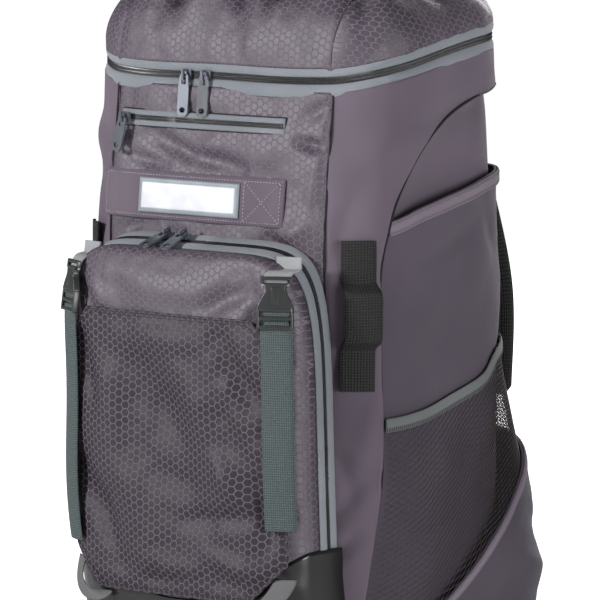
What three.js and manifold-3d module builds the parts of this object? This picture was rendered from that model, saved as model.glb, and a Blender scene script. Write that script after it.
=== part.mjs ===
// A baseball bat backpack that stands closed on its base.
// Millimetres, +Z up. The front faces -Y, the wearer's back is at +Y, and the origin is under the middle of the
// body, where it stands. Angles are in degrees, seen from above: 0 is +X and -90 is the front.
import * as THREE from 'three';
import { mergeVertices } from 'three/addons/utils/BufferGeometryUtils.js';
import Module from 'manifold-3d';

const wasm = await Module();
wasm.setup();

// Body and lid
const BODY_WIDTH = 312;
const BODY_DEPTH = 210;
const FRONT_SQUARENESS = 4;
const BACK_SQUARENESS = 3.2;
const CORNER_CROWDING = 0.55;
const ZIP_HEIGHT = 440;
const ZIP_RISE = 32;
const LID_RISE = 95;
const LID_ROUNDNESS = 2.2;
const FRONT_PANEL_WIDTH = 222;
const BACK_PANEL_WIDTH = 226;
const LID_CENTRE_WIDTH = 218;
const CLOTH = 1.6;
const GAP = 0.35;
const LAYER_GAP = 0.8;
const BASE_LIP = 14;
const BASE_WALL = 2.4;
const BASE_ROUNDING = 13;

// Zips
const ZIP_OPENING = 18.5;
const ZIP_LAP = 5;
const TAPE = 1.2;
const CHAIN_WIDTH = 6;
const CHAIN_THICKNESS = 2.2;
const CHEST_ZIP_LEFT = -99.5;
const CHEST_ZIP_LENGTH = 171;
const CHEST_ZIP_HEIGHT = 404;
const CHEST_TAPE_WIDTH = 12.5;
const SLIDER_LENGTH = 10;
const SLIDER_WIDTH = 8;
const SLIDER_BASE = 2;
const BRIDGE_WIDTH = 2.2;
const BRIDGE_LENGTH = 8.4;
const BRIDGE_BAR = 1.4;
const BRIDGE_WINDOW = 3.6;
const PULL_THICKNESS = 1.5;
const PULL_WIDTH = 11;
const EYE_WIDTH = 8.4;
const EYE_ARM = 1.8;
const EYE_LENGTH = 7.6;
const TOP_PULL_LENGTH = 33;
const TOP_PULL_SPACING = 20;
const TOP_PULL_CENTRE = -22;
const TOP_PULL_TILT = 5;
const CHEST_PULL_LENGTH = 28;
const CHEST_PULL_TILT = 6;
const CHEST_PULL_TURN = -12;
const POCKET_PULL_LENGTH = 26;
const POCKET_PULL_SPACING = 17;
const POCKET_PULL_CENTRE = -22;
const POCKET_PULL_TILT = -8;
const POCKET_PULL_TURN = -14;

// Label strip and its blank badge
const LABEL_LEFT = -116;
const LABEL_LENGTH = 191;
const LABEL_BOTTOM = 325;
const LABEL_HEIGHT = 38;
const BADGE_LEFT = -73;
const BADGE_LENGTH = 105;
const BADGE_HEIGHT = 28;
const BADGE_THICKNESS = 1.4;

// Front pocket
const POCKET_WIDTH = 238;
const POCKET_TOP = 307;
const POCKET_CENTRE = 120;
const POCKET_CROWN = 25;
const POCKET_WALL_DEPTH = 27;
const POCKET_FLARE_SIDE = 4;
const POCKET_FLARE_TOP = 8;
const POCKET_CORNERS = 7;
const POCKET_ROUNDING = 4;
const BOOT_SIDE_HEIGHT = 77;
const BOOT_MIDDLE_HEIGHT = 32;
const BOOT_FLOOR = 2;
const BOOT_ROUNDING = 12;

// Flap and compression straps
const FLAP_WIDTH = 216;
const FLAP_TOP = 257;
const FLAP_BOTTOM = 36;
const FLAP_TOP_CORNER = 24;
const FLAP_BOTTOM_CORNER = 31;
const FLAP_THICKNESS = 2.6;
const WEBBING_WIDTH = 25;
const WEBBING = 1.4;
const STRAP_SPACING = 206;
const STRAP_TOP = 300;
const BUCKLE_TOP = 292;
const BUCKLE_LENGTH = 41;
const BUCKLE_WIDTH = 31;
const BUCKLE_THICKNESS = 6;
const PLUG_LENGTH = 14;
const NECK_WIDTH = 12;
const LADDER_LENGTH = 16;
const RIGHT_TAIL_END = 95;
const LEFT_TAIL_END = 70;
const LOOP_STAND_OFF = 11;
const LOOP_PLACE = 90;
const LOOP_SPAN = 46;
const LOOP_WEBBING = 15;
const LOOP_TOP = 56;
const LOOP_DROP = 24;

// Sides
const HANDLE_ANGLE = -35.5;
const HANDLE_TOP = 318;
const HANDLE_LENGTH = 118;
const HANDLE_PATCH = 32;
const HANDLE_STAND_OFF = 11;
const HANDLE_THICKNESS = 2.2;
const RECESS_DEPTH = 14;
const RECESS_DROP = 4;
const BAND_HEIGHT = 11;
const BINDING_HEIGHT = 11;
const BINDING = 1.2;
const MESH = 1;
const HEEL_BULGE = 30;
const SIDE_LAP_ANGLE = 3;
const SIDE_POCKET_END = 45.5;
const HEEL_START = -16;

// Back
const PAD_WIDTH = 184;
const PAD_TOP = 408;
const PAD_BOTTOM = 46;
const PAD_THICKNESS = 11;
const PAD_EDGE = 3;
const SHOULDER_WIDTH = 60;
const SHOULDER_THICKNESS = 11;
const SHOULDER_LAP = 12;

// Each length below is a share of the named size in its comment.
// Body sections: at and the half sizes are shares of ZIP_HEIGHT, BODY_WIDTH and BODY_DEPTH.
const BODY_SECTIONS = [
  { at: 0, width: 0.475, front: 0.475, back: 0.445 },
  { at: 0.15, width: 0.492, front: 0.502, back: 0.457 },
  { at: 0.5, width: 0.5, front: 0.535, back: 0.462 },
  { at: 0.7, width: 0.503, front: 0.556, back: 0.467 },
  { at: 0.85, width: 0.5, front: 0.53, back: 0.467 },
  { at: 1, width: 0.497, front: 0.5, back: 0.467 },
  { at: 1.3, width: 0.497, front: 0.49, back: 0.467 },
];

// Rise of the top zip round the body: angle from the front and share of ZIP_RISE.
const ZIP_COURSE = [
  { at: 0, rise: 0 },
  { at: 48, rise: 0.02 },
  { at: 66, rise: 0.31 },
  { at: 84, rise: 0.63 },
  { at: 104, rise: 0.88 },
  { at: 140, rise: 1 },
  { at: 180, rise: 1 },
];

// Seam of the bat recess: height as a share of the recess's top and the angle there, on the +X side.
const RECESS_SEAM = [
  { at: 0.03, angle: -33 },
  { at: 0.15, angle: -31 },
  { at: 0.3, angle: -28 },
  { at: 0.5, angle: -28.6 },
  { at: 0.67, angle: -29 },
  { at: 0.775, angle: -25.2 },
  { at: 0.832, angle: -21 },
  { at: 0.89, angle: -14 },
  { at: 0.94, angle: -3.5 },
  { at: 0.97, angle: 9 },
  { at: 0.985, angle: 22 },
  { at: 1, angle: 39 },
];

// Top edges of the sleeve, the mesh pocket and the heel pocket: angle, and shares of ZIP_HEIGHT.
const SIDE_EDGES = [
  { at: -36, sleeve: 0.742, mesh: 0.402, heel: 0.02 },
  { at: -25, sleeve: 0.755, mesh: 0.407, heel: 0.02 },
  { at: -14, sleeve: 0.777, mesh: 0.419, heel: 0.042 },
  { at: -2, sleeve: 0.794, mesh: 0.442, heel: 0.11 },
  { at: 10, sleeve: 0.81, mesh: 0.468, heel: 0.2 },
  { at: 18, sleeve: 0.822, mesh: 0.505, heel: 0.262 },
  { at: 32, sleeve: 0.83, mesh: 0.53, heel: 0.335 },
  { at: 48, sleeve: 0.83, mesh: 0.54, heel: 0.36 },
];

// Outward bulge of the side pockets: angle and share of HEEL_BULGE there.
const BULGE_ROUND = [
  { at: -33, share: 0.02 },
  { at: -24, share: 0.12 },
  { at: -8, share: 0.36 },
  { at: 10, share: 0.72 },
  { at: 28, share: 1 },
  { at: 37, share: 0.8 },
  { at: 42, share: 0.4 },
  { at: 45, share: 0.04 },
];

// The same bulge up the side: height as a share of ZIP_HEIGHT, and share of the bulge.
const BULGE_UP = [
  { at: 0, share: 0.72 },
  { at: 0.03, share: 0.94 },
  { at: 0.09, share: 1 },
  { at: 0.2, share: 0.82 },
  { at: 0.3, share: 0.55 },
  { at: 0.38, share: 0.32 },
  { at: 0.5, share: 0.03 },
  { at: 0.7, share: 0.02 },
];

// Folds pressed into the lid: place as shares of BODY_WIDTH and BODY_DEPTH, reach as a share of BODY_WIDTH,
// the way the fold runs in degrees, how long it is for its width, and the depth as a share of the lid's height.
const LID_FOLDS = [
  { x: 0.17, y: -0.31, reach: 0.045, turn: 60, stretch: 3.2, depth: 0.1 },
  { x: 0.29, y: -0.2, reach: 0.05, turn: 70, stretch: 2.6, depth: 0.11 },
  { x: -0.02, y: -0.36, reach: 0.05, turn: 20, stretch: 2.4, depth: 0.06 },
  { x: -0.26, y: -0.24, reach: 0.06, turn: -50, stretch: 2.4, depth: 0.07 },
  { x: 0.42, y: 0.0, reach: 0.06, turn: 90, stretch: 2, depth: 0.08 },
];

// Outline of a shoulder strap's middle line: shares of PAD_WIDTH and of the pad's height, and of PAD_THICKNESS for
// how far it stands off the back.
const SHOULDER_COURSE = [
  { at: 0, across: 0.25, height: 1.07, off: 0 },
  { at: 0.08, across: 0.26, height: 1.01, off: 0.55 },
  { at: 0.2, across: 0.29, height: 0.92, off: 1.2 },
  { at: 0.42, across: 0.37, height: 0.76, off: 1.9 },
  { at: 0.66, across: 0.45, height: 0.58, off: 2.05 },
  { at: 1, across: 0.47, height: 0.36, off: 1.5 },
];

const radians = THREE.MathUtils.degToRad;
const lerp = THREE.MathUtils.lerp;
const clamp = THREE.MathUtils.clamp;

// A smooth reading of one column of a table, held at its ends
function read(table, column, at) {
  const last = table.length - 1;
  if (at <= table[0].at) {
    return table[0][column];
  }
  if (at >= table[last].at) {
    return table[last][column];
  }
  const row = table.findIndex((entry) => entry.at > at) - 1;
  const slope = (index) => {
    const before = table[Math.max(index - 1, 0)];
    const after = table[Math.min(index + 1, last)];
    return (after[column] - before[column]) / (after.at - before.at);
  };
  const span = table[row + 1].at - table[row].at;
  const t = (at - table[row].at) / span;
  const start = table[row][column];
  const end = table[row + 1][column];
  const bend = t * (1 - t) * span * (slope(row) * (1 - t) - slope(row + 1) * t);
  return lerp(start, end, t * t * (3 - 2 * t)) + bend;
}

// A closed wall between an outer and an inner sheet. sheet(u, v, side) gives a point, with side 0 outside and 1
// inside. around joins the last column to the first, and capped closes the last row in one point.
function wall(columns, rows, sheet, { around = false, capped = false } = {}) {
  const points = [];
  const ids = [0, 1].map((side) => {
    const grid = [];
    const lines = around ? columns : columns + 1;
    const steps = capped ? rows : rows + 1;
    for (let i = 0; i < lines; i += 1) {
      grid.push([]);
      for (let j = 0; j < steps; j += 1) {
        grid[i].push(points.length);
        points.push(sheet(i / columns, j / rows, side));
      }
    }
    if (capped) {
      const tip = points.length;
      points.push(sheet(0, 1, side));
      grid.forEach((line) => line.push(tip));
    }
    if (around) {
      grid.push(grid[0]);
    }
    return grid;
  });
  const faces = [];
  const quad = (a, b, c, d) => {
    if (c === d) {
      faces.push([a, b, c]);
      return;
    }
    faces.push([a, b, c], [a, c, d]);
  };
  const [outer, inner] = ids;
  for (let i = 0; i < columns; i += 1) {
    for (let j = 0; j < rows; j += 1) {
      quad(outer[i][j], outer[i + 1][j], outer[i + 1][j + 1], outer[i][j + 1]);
      quad(inner[i + 1][j], inner[i][j], inner[i][j + 1], inner[i + 1][j + 1]);
    }
    quad(inner[i][0], inner[i + 1][0], outer[i + 1][0], outer[i][0]);
    if (!capped) {
      quad(outer[i][rows], outer[i + 1][rows], inner[i + 1][rows], inner[i][rows]);
    }
  }
  if (!around) {
    for (let j = 0; j < rows; j += 1) {
      quad(outer[0][j + 1], inner[0][j + 1], inner[0][j], outer[0][j]);
      quad(outer[columns][j], inner[columns][j], inner[columns][j + 1], outer[columns][j + 1]);
    }
  }
  return facingOut(points, faces);
}

// Geometry from points and triangles, turned so that the faces look outwards
function facingOut(points, faces) {
  const normal = new THREE.Vector3();
  const volume = faces.reduce((sum, [a, b, c]) => {
    normal.crossVectors(points[b], points[c]);
    return sum + points[a].dot(normal);
  }, 0);
  const ordered = volume > 0 ? faces : faces.map(([a, b, c]) => [a, c, b]);
  const geometry = new THREE.BufferGeometry();
  geometry.setAttribute('position', new THREE.Float32BufferAttribute(points.flatMap((p) => p.toArray()), 3));
  geometry.setIndex(ordered.flat());
  geometry.computeVertexNormals();
  return geometry;
}

// Solids for joining and cutting, and back again
function solidOf(geometry) {
  const bare = geometry.clone();
  bare.deleteAttribute('normal');
  bare.deleteAttribute('uv');
  const merged = mergeVertices(bare, 1e-4);
  return new wasm.Manifold(new wasm.Mesh({
    numProp: 3,
    vertProperties: Float32Array.from(merged.attributes.position.array),
    triVerts: Uint32Array.from(merged.index.array),
  }));
}

function geometryOf(solid) {
  const mesh = solid.getMesh();
  const geometry = new THREE.BufferGeometry();
  geometry.setAttribute('position', new THREE.BufferAttribute(mesh.vertProperties, 3));
  geometry.setIndex(new THREE.BufferAttribute(mesh.triVerts, 1));
  geometry.computeVertexNormals();
  return geometry;
}

// The body's skin
function bodyHalf(column, height, out) {
  const size = column === 'width' ? BODY_WIDTH : BODY_DEPTH;
  return size * read(BODY_SECTIONS, column, height / ZIP_HEIGHT) + out;
}

function bodyPoint(angle, height, out) {
  const across = Math.cos(radians(angle));
  const along = Math.sin(radians(angle));
  const width = bodyHalf('width', height, out);
  const depth = bodyHalf(along < 0 ? 'front' : 'back', height, out);
  const square = along < 0 ? FRONT_SQUARENESS : BACK_SQUARENESS;
  const sum = Math.abs(across / width) ** square + Math.abs(along / depth) ** square;
  const reach = sum ** (-1 / square);
  return new THREE.Vector3(reach * across, reach * along, height);
}

// How far the skin reaches along Y at a place across the body
function reachAt(column, x, height, out) {
  const share = clamp(Math.abs(x) / bodyHalf('width', height, out), 0, 1);
  const square = column === 'front' ? FRONT_SQUARENESS : BACK_SQUARENESS;
  return bodyHalf(column, height, out) * (1 - share ** square) ** (1 / square);
}

const frontPoint = (x, height, out) => new THREE.Vector3(x, -reachAt('front', x, height, out), height);
const backPoint = (x, height, out) => new THREE.Vector3(x, reachAt('back', x, height, out), height);

// The angle on the skin at a place across the front or the back, on the +X side
function frontAngle(x, height, out = 0) {
  return THREE.MathUtils.radToDeg(Math.atan2(-reachAt('front', x, height, out), x));
}

function backAngle(x, height, out = 0) {
  return THREE.MathUtils.radToDeg(Math.atan2(reachAt('back', x, height, out), x));
}

// Height of the middle of the top zip
function zipHeight(angle) {
  const fromFront = Math.abs(THREE.MathUtils.euclideanModulo(angle + 90 + 180, 360) - 180);
  return ZIP_HEIGHT + ZIP_RISE * read(ZIP_COURSE, 'rise', fromFront);
}

// Places round the skin that lie closer together at its corners. A turn is an even measure of the way round.
function angleOf(turn) {
  const quarter = Math.floor(turn / 90);
  const share = radians(turn - 90 * quarter);
  const width = quarter % 2 ? BODY_DEPTH : BODY_WIDTH;
  const depth = quarter % 2 ? BODY_WIDTH : BODY_DEPTH;
  const power = 2 / FRONT_SQUARENESS;
  const crowded = Math.atan2(depth * Math.sin(share) ** power, width * Math.cos(share) ** power);
  return 90 * quarter + THREE.MathUtils.radToDeg(lerp(share, crowded, CORNER_CROWDING));
}

function turnOf(angle) {
  let low = 90 * Math.floor(angle / 90);
  let high = low + 90;
  for (let step = 0; step < 24; step += 1) {
    const middle = (low + high) / 2;
    if (angleOf(middle) < angle) {
      low = middle;
    } else {
      high = middle;
    }
  }
  return low;
}

const between = (from, to, share) => angleOf(lerp(turnOf(from), turnOf(to), share));

const bodyTop = (angle) => zipHeight(angle) - ZIP_OPENING / 2;
const lidBottom = (angle) => zipHeight(angle) + ZIP_OPENING / 2;
const panelBottom = BASE_LIP + GAP;
const lidTop = ZIP_HEIGHT + LID_RISE;
const recessTop = ZIP_HEIGHT - RECESS_DROP;

// Mirrors a sheet to the -X side
function mirrored(sheet) {
  return (u, v, side) => {
    const point = sheet(u, v, side);
    point.x = -point.x;
    return point;
  };
}

// Body panels
function frontPanel() {
  return wall(12, 7, (u, v, side) => {
    const seam = frontAngle(FRONT_PANEL_WIDTH / 2, ZIP_HEIGHT);
    const height = lerp(panelBottom, bodyTop(seam), v);
    const half = FRONT_PANEL_WIDTH / 2 - GAP / 2;
    return frontPoint(half * Math.sin((u - 0.5) * Math.PI), height, -side * CLOTH);
  });
}

function recessAngle(height) {
  return read(RECESS_SEAM, 'angle', height / recessTop);
}

// The plain side panel, from the front seam to the seam of the bat recess, and over it to the back seam.
function sideSheet(u, v, side) {
  const seam = frontAngle(FRONT_PANEL_WIDTH / 2, ZIP_HEIGHT);
  const backSeam = backAngle(BACK_PANEL_WIDTH / 2, ZIP_HEIGHT);
  const frontHeight = lerp(panelBottom, bodyTop(seam), v);
  const rearHeight = lerp(panelBottom, bodyTop(backSeam), v ** 0.6);
  const out = -side * CLOTH;
  const from = frontAngle(FRONT_PANEL_WIDTH / 2 + GAP / 2, frontHeight, out);
  const to = Math.min(recessAngle(rearHeight), backAngle(BACK_PANEL_WIDTH / 2, rearHeight, out));
  const angle = between(from, to, u);
  const straight = lerp(frontHeight, rearHeight, u);
  const atTop = lerp(bodyTop(seam), bodyTop(backSeam), u);
  const height = straight + (bodyTop(between(from, backSeam, u)) - atTop) * v ** 6;
  return bodyPoint(angle, height, out);
}

// The back panel runs up past the zip's ends to the lid, as the lid's hinge
function backPanel() {
  return wall(8, 7, (u, v, side) => {
    const half = BACK_PANEL_WIDTH / 2 - GAP;
    const seam = backAngle(half, ZIP_HEIGHT);
    const x = half * Math.sin((u - 0.5) * Math.PI);
    return backPoint(x, lerp(panelBottom, lidBottom(seam) - GAP, v), -side * CLOTH);
  });
}

// How far inside the skin a cloth lies that is sewn under the edge of another
const UNDER_SEAM = CLOTH + 1.5 * LAYER_GAP;

// The wall of the bag behind the bat sleeve, set back from the skin
const RECESS_STEPS = [
  { at: 0, depth: 0 },
  { at: 0.14, depth: 0.75 },
  { at: 0.3, depth: 1 },
  { at: 0.6, depth: 0.9 },
  { at: 0.75, depth: 0.5 },
  { at: 0.88, depth: 0.2 },
  { at: 1, depth: 0 },
];

function recessSheet(u, v, side) {
  const top = recessTop + ZIP_LAP;
  const height = lerp(panelBottom, top, v);
  const endAngle = backAngle(BACK_PANEL_WIDTH / 2 - ZIP_LAP, height);
  const from = Math.min(recessAngle(height), endAngle - 6 * SIDE_LAP_ANGLE) - SIDE_LAP_ANGLE;
  const shelf = clamp((top - height) / (2 * RECESS_DEPTH), 0, 1);
  const depth = UNDER_SEAM * lerp(2, 1.3, u) + RECESS_DEPTH * read(RECESS_STEPS, 'depth', u) * shelf;
  return bodyPoint(between(from, endAngle, u), height, -depth - side * CLOTH);
}

// The bat sleeve's cloth, its top band, the mesh pocket and the heel pocket
const sleeveTop = (angle) => ZIP_HEIGHT * read(SIDE_EDGES, 'sleeve', angle);
const meshTop = (angle) => ZIP_HEIGHT * read(SIDE_EDGES, 'mesh', angle);
const heelTop = (angle) => ZIP_HEIGHT * read(SIDE_EDGES, 'heel', angle);
const sleeveEnd = (height) => backAngle(BACK_PANEL_WIDTH / 2 - 2 * ZIP_LAP, height);

// The sleeve starts under the side panel and ends over the back panel.
function sleeveOut(angle) {
  return lerp(-UNDER_SEAM, UNDER_SEAM, THREE.MathUtils.smoothstep(angle, -33, 34));
}

function sleeveSheet(u, v, side) {
  const reference = lerp(panelBottom, sleeveTop(0), v);
  const from = recessAngle(reference) - SIDE_LAP_ANGLE / 2;
  const angle = between(from, sleeveEnd(reference), u);
  const height = reference + (sleeveTop(angle) - sleeveTop(0)) * v ** 3;
  return bodyPoint(angle, height, sleeveOut(angle) - side * CLOTH);
}

function bandSheet(u, v, side) {
  const reference = sleeveTop(0);
  const from = recessAngle(reference - BAND_HEIGHT) + SIDE_LAP_ANGLE;
  const angle = between(from, sleeveEnd(reference), u);
  const height = sleeveTop(angle) - BAND_HEIGHT * (1 - v);
  return bodyPoint(angle, height, sleeveOut(angle) + LAYER_GAP + BINDING * (1 - side));
}

function pocketBulge(angle, height) {
  const share = read(BULGE_UP, 'share', height / ZIP_HEIGHT);
  return HEEL_BULGE * read(BULGE_ROUND, 'share', angle) * share;
}

// The outer face of the mesh, which lies over the sleeve
function meshOut(angle, height) {
  return Math.max(sleeveOut(angle), -MESH) + LAYER_GAP + MESH + pocketBulge(angle, height);
}

function meshSheet(u, v, side) {
  const reference = lerp(panelBottom, meshTop(HANDLE_ANGLE), v);
  const angle = between(recessAngle(reference) + SIDE_LAP_ANGLE / 2, SIDE_POCKET_END, u);
  const low = Math.max(panelBottom, heelTop(angle) - ZIP_LAP);
  const height = lerp(low, meshTop(angle), v);
  return bodyPoint(angle, height, meshOut(angle, height) - side * MESH);
}

function meshBindingSheet(u, v, side) {
  const from = recessAngle(meshTop(HANDLE_ANGLE)) + SIDE_LAP_ANGLE / 2;
  const angle = between(from, SIDE_POCKET_END, u);
  const height = meshTop(angle) - BINDING_HEIGHT * (1 - v);
  const out = meshOut(angle, height) + LAYER_GAP;
  return bodyPoint(angle, height, out + BINDING * (1 - side));
}

// The heel pocket's rows: shares of its reach from the skin and of its height
const HEEL_PROFILE = [
  { out: 0, height: 0.02 },
  { out: 0.84, height: 0.02 },
  { out: 1, height: 0.12 },
  { out: 1, height: 0.32 },
  { out: 1, height: 0.66 },
  { out: 1, height: 1 },
];

const heelOut = (angle, height) => meshOut(angle, height) + 1.5 * LAYER_GAP + CLOTH;

function heelSheet(u, v, side) {
  const angle = between(HEEL_START, SIDE_POCKET_END, u);
  const row = Math.round(v * (HEEL_PROFILE.length - 1));
  const { out, height: share } = HEEL_PROFILE[row];
  const height = lerp(BOOT_FLOOR, heelTop(angle), share);
  const reach = heelOut(angle, height) * out + GAP * (1 - out);
  const thick = side * CLOTH;
  return bodyPoint(angle, height + (row < 2 ? thick : 0), Math.max(reach - (row < 1 ? 0 : thick), GAP));
}

function heelBindingSheet(u, v, side) {
  const angle = between(HEEL_START, SIDE_POCKET_END, u);
  const height = heelTop(angle) - BINDING_HEIGHT * 0.7 * (1 - v);
  return bodyPoint(angle, height, heelOut(angle, height) + LAYER_GAP + BINDING * (1 - side));
}

// Base: a lip round the foot of the body, rounded into a flat floor
function base() {
  const profile = [
    { height: BASE_LIP, inset: 0 },
    { height: BASE_LIP / 2, inset: BASE_ROUNDING * 0.08 },
    { height: BASE_LIP / 7, inset: BASE_ROUNDING * 0.4 },
    { height: 0, inset: BASE_ROUNDING },
    { height: 0, inset: BASE_ROUNDING * 4 },
  ];
  return wall(24, profile.length, (u, v, side) => {
    const row = profile[Math.round(v * profile.length)];
    if (!row) {
      return new THREE.Vector3(0, 0, side * BASE_WALL);
    }
    const lift = row.inset > 0.3 * BASE_ROUNDING ? side * BASE_WALL : 0;
    const point = bodyPoint(angleOf(u * 360), row.height, -row.inset - side * BASE_WALL);
    point.z += lift;
    return point;
  }, { around: true, capped: true });
}

// Lid
function lidFold(point) {
  return LID_FOLDS.reduce((sum, fold) => {
    const turn = radians(fold.turn);
    const dx = point.x - fold.x * BODY_WIDTH;
    const dy = point.y - fold.y * BODY_DEPTH;
    const along = (dx * Math.cos(turn) + dy * Math.sin(turn)) / fold.stretch;
    const across = dy * Math.cos(turn) - dx * Math.sin(turn);
    const distance = (along ** 2 + across ** 2) / (fold.reach * BODY_WIDTH) ** 2;
    return sum + fold.depth * Math.exp(-distance);
  }, 0);
}

function lidPoint(angle, climb, out) {
  const rim = bodyPoint(angle, ZIP_HEIGHT, out);
  const scale = Math.cos(climb * Math.PI / 2) ** (2 / LID_ROUNDNESS);
  const rise = Math.sin(climb * Math.PI / 2) ** (2 / LID_ROUNDNESS);
  const point = new THREE.Vector3(rim.x * scale, rim.y * scale, 0);
  const low = lidBottom(angle);
  const fold = lidFold(point) * Math.sin(climb * Math.PI / 2);
  point.z = lerp(low, lidTop + out, rise) - LID_RISE * fold;
  return point;
}

const LID_CLIMBS = [0, 0.07, 0.18, 0.34, 0.52, 0.74, 1];

function lid() {
  return wall(32, LID_CLIMBS.length - 1, (u, v, side) => {
    if (v === 1) {
      return new THREE.Vector3(0, 0, lidTop - side * CLOTH);
    }
    const climb = LID_CLIMBS[Math.round(v * (LID_CLIMBS.length - 1))];
    return lidPoint(angleOf(u * 360), climb, -side * CLOTH);
  }, { around: true, capped: true });
}

// One panel of the lid: the part of the whole lid between two places across it
function lidPanel(whole, left, right) {
  const size = right - left;
  const block = new THREE.BoxGeometry(size, 2 * BODY_DEPTH, lidTop);
  block.translate((left + right) / 2, 0, lidTop);
  return geometryOf(solidOf(whole).intersect(solidOf(block)));
}

// Top zip, from one rear corner round the front to the other
function zipSheet(halfHeight, outer, thickness, from, to) {
  return (u, v, side) => {
    const angle = between(from, to, u);
    const height = zipHeight(angle) + lerp(-halfHeight, halfHeight, v);
    return bodyPoint(angle, height, outer - side * thickness);
  };
}

// A patch on the front of the body
function frontPatch(left, right, low, high, out, thickness, columns) {
  return wall(columns, 2, (u, v, side) => frontPoint(
    lerp(left, right, u),
    lerp(low, high, v),
    out + thickness * (1 - side),
  ));
}

// Outline of the front pocket: share 0 is its foot on the +X side and 1 its foot on the -X side.
function pocketOutline(share, side, top, foot) {
  const height = top - POCKET_CENTRE;
  const legShare = 0.22;
  if (share < legShare || share > 1 - legShare) {
    const rise = Math.min(share, 1 - share) / legShare;
    return { x: share < 0.5 ? side : -side, z: lerp(foot, POCKET_CENTRE, rise) };
  }
  const turn = (share - legShare) / (1 - 2 * legShare) * Math.PI;
  const spread = 2 / POCKET_CORNERS;
  const x = Math.sign(Math.cos(turn)) * Math.abs(Math.cos(turn)) ** spread * side;
  return { x, z: POCKET_CENTRE + Math.sin(turn) ** spread * height };
}

// The pocket's zip wall: share runs round the outline, lift from the body (0) to the pocket's front (1)
function pocketWallPoint(share, lift, out) {
  const inner = pocketOutline(share, POCKET_WIDTH / 2 + out, POCKET_TOP + out, BOOT_SIDE_HEIGHT + GAP);
  const outer = pocketOutline(
    share,
    POCKET_WIDTH / 2 - POCKET_FLARE_SIDE + out,
    POCKET_TOP + POCKET_FLARE_TOP + out,
    BOOT_SIDE_HEIGHT + GAP,
  );
  const x = lerp(outer.x, inner.x, lift);
  const z = lerp(outer.z, inner.z, lift);
  const y = -reachAt('front', x, z, 0) - LAYER_GAP - lift * (POCKET_WALL_DEPTH - LAYER_GAP);
  return new THREE.Vector3(x, y, z);
}

// The pocket's front at a place across and up it
function pocketPoint(x, z, out) {
  const half = POCKET_WIDTH / 2 + out;
  const across = clamp(Math.abs(x) / half, 0, 1);
  const up = clamp((z - POCKET_CENTRE) / (POCKET_TOP + out - POCKET_CENTRE), 0, 1);
  const edge = clamp((across ** POCKET_CORNERS + up ** POCKET_CORNERS) ** (1 / POCKET_CORNERS), 0, 1);
  const crown = (POCKET_CROWN + out) * (1 - edge ** POCKET_ROUNDING) ** (1 / POCKET_ROUNDING);
  const y = -reachAt('front', x, z, 0) - POCKET_WALL_DEPTH - LAYER_GAP - crown;
  return new THREE.Vector3(x, y, z);
}

function bootTop(x) {
  return lerp(BOOT_MIDDLE_HEIGHT, BOOT_SIDE_HEIGHT, (Math.abs(x) / (POCKET_WIDTH / 2)) ** 2);
}

const POCKET_RINGS = [0, 0.015, 0.06, 0.16, 0.42, 1];

function pocketFront() {
  const bottomShare = 0.3;
  const middle = { x: 0, z: (POCKET_TOP + BOOT_MIDDLE_HEIGHT) / 2 };
  return wall(36, POCKET_RINGS.length - 1, (u, v, side) => {
    const out = -side * CLOTH;
    const half = POCKET_WIDTH / 2 + out;
    const ring = POCKET_RINGS[Math.round(v * (POCKET_RINGS.length - 1))];
    let rim;
    if (u < bottomShare) {
      const x = lerp(-half, half, u / bottomShare);
      rim = { x, z: bootTop(x) + LAYER_GAP };
    } else {
      const share = (u - bottomShare) / (1 - bottomShare);
      rim = pocketOutline(share, half, POCKET_TOP + out, bootTop(half) + LAYER_GAP);
    }
    return pocketPoint(lerp(rim.x, middle.x, ring), lerp(rim.z, middle.z, ring), out);
  }, { around: true, capped: true });
}

// The boot closes the pocket's foot: its floor, its rounded corner and its sides back to the body
function pocketBoot() {
  const rows = 5;
  const columns = 20;
  return wall(columns, rows, (u, v, side) => {
    const out = -side * CLOTH;
    const row = Math.round(v * rows);
    const place = (u * columns - 1) / (columns - 2);
    const onBody = place < 0 || place > 1;
    const across = Math.cos(clamp(place, 0, 1) * Math.PI);
    const x = across * (POCKET_WIDTH / 2 + out);
    const rounding = (1 - Math.abs(across) ** POCKET_ROUNDING) ** (1 / POCKET_ROUNDING);
    const crown = onBody ? 0 : (POCKET_CROWN + out) * rounding;
    const top = bootTop(x);
    const climb = Math.max(row - 2, 0) / (rows - 2);
    const z = lerp(BOOT_FLOOR + BOOT_ROUNDING, top, climb);
    const body = reachAt('front', x, z, 0) + LAYER_GAP;
    const reach = body + (onBody ? 0 : POCKET_WALL_DEPTH + crown);
    if (row === 0) {
      return new THREE.Vector3(x, -reachAt('front', x, BOOT_FLOOR, 0) - LAYER_GAP, BOOT_FLOOR - out);
    }
    if (row === 1) {
      return new THREE.Vector3(x * 0.985, -lerp(reach, body, 0.12), BOOT_FLOOR - out);
    }
    return new THREE.Vector3(x, -reach, z);
  });
}

// Flap: an outline with cut corners, laid on the pocket
function flapHalf(z) {
  const cut = Math.max(FLAP_TOP_CORNER - (FLAP_TOP - z), FLAP_BOTTOM_CORNER - (z - FLAP_BOTTOM), 0);
  return FLAP_WIDTH / 2 - cut;
}

const FLAP_HEIGHTS = [0, 0.07, 0.14, 0.3, 0.46, 0.62, 0.76, 0.89, 0.945, 1];

function flapOut(z) {
  const share = (z - FLAP_BOTTOM) / (FLAP_TOP - FLAP_BOTTOM);
  return 1.7 * LAYER_GAP + 2 * (1 - share) ** 2;
}

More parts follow.
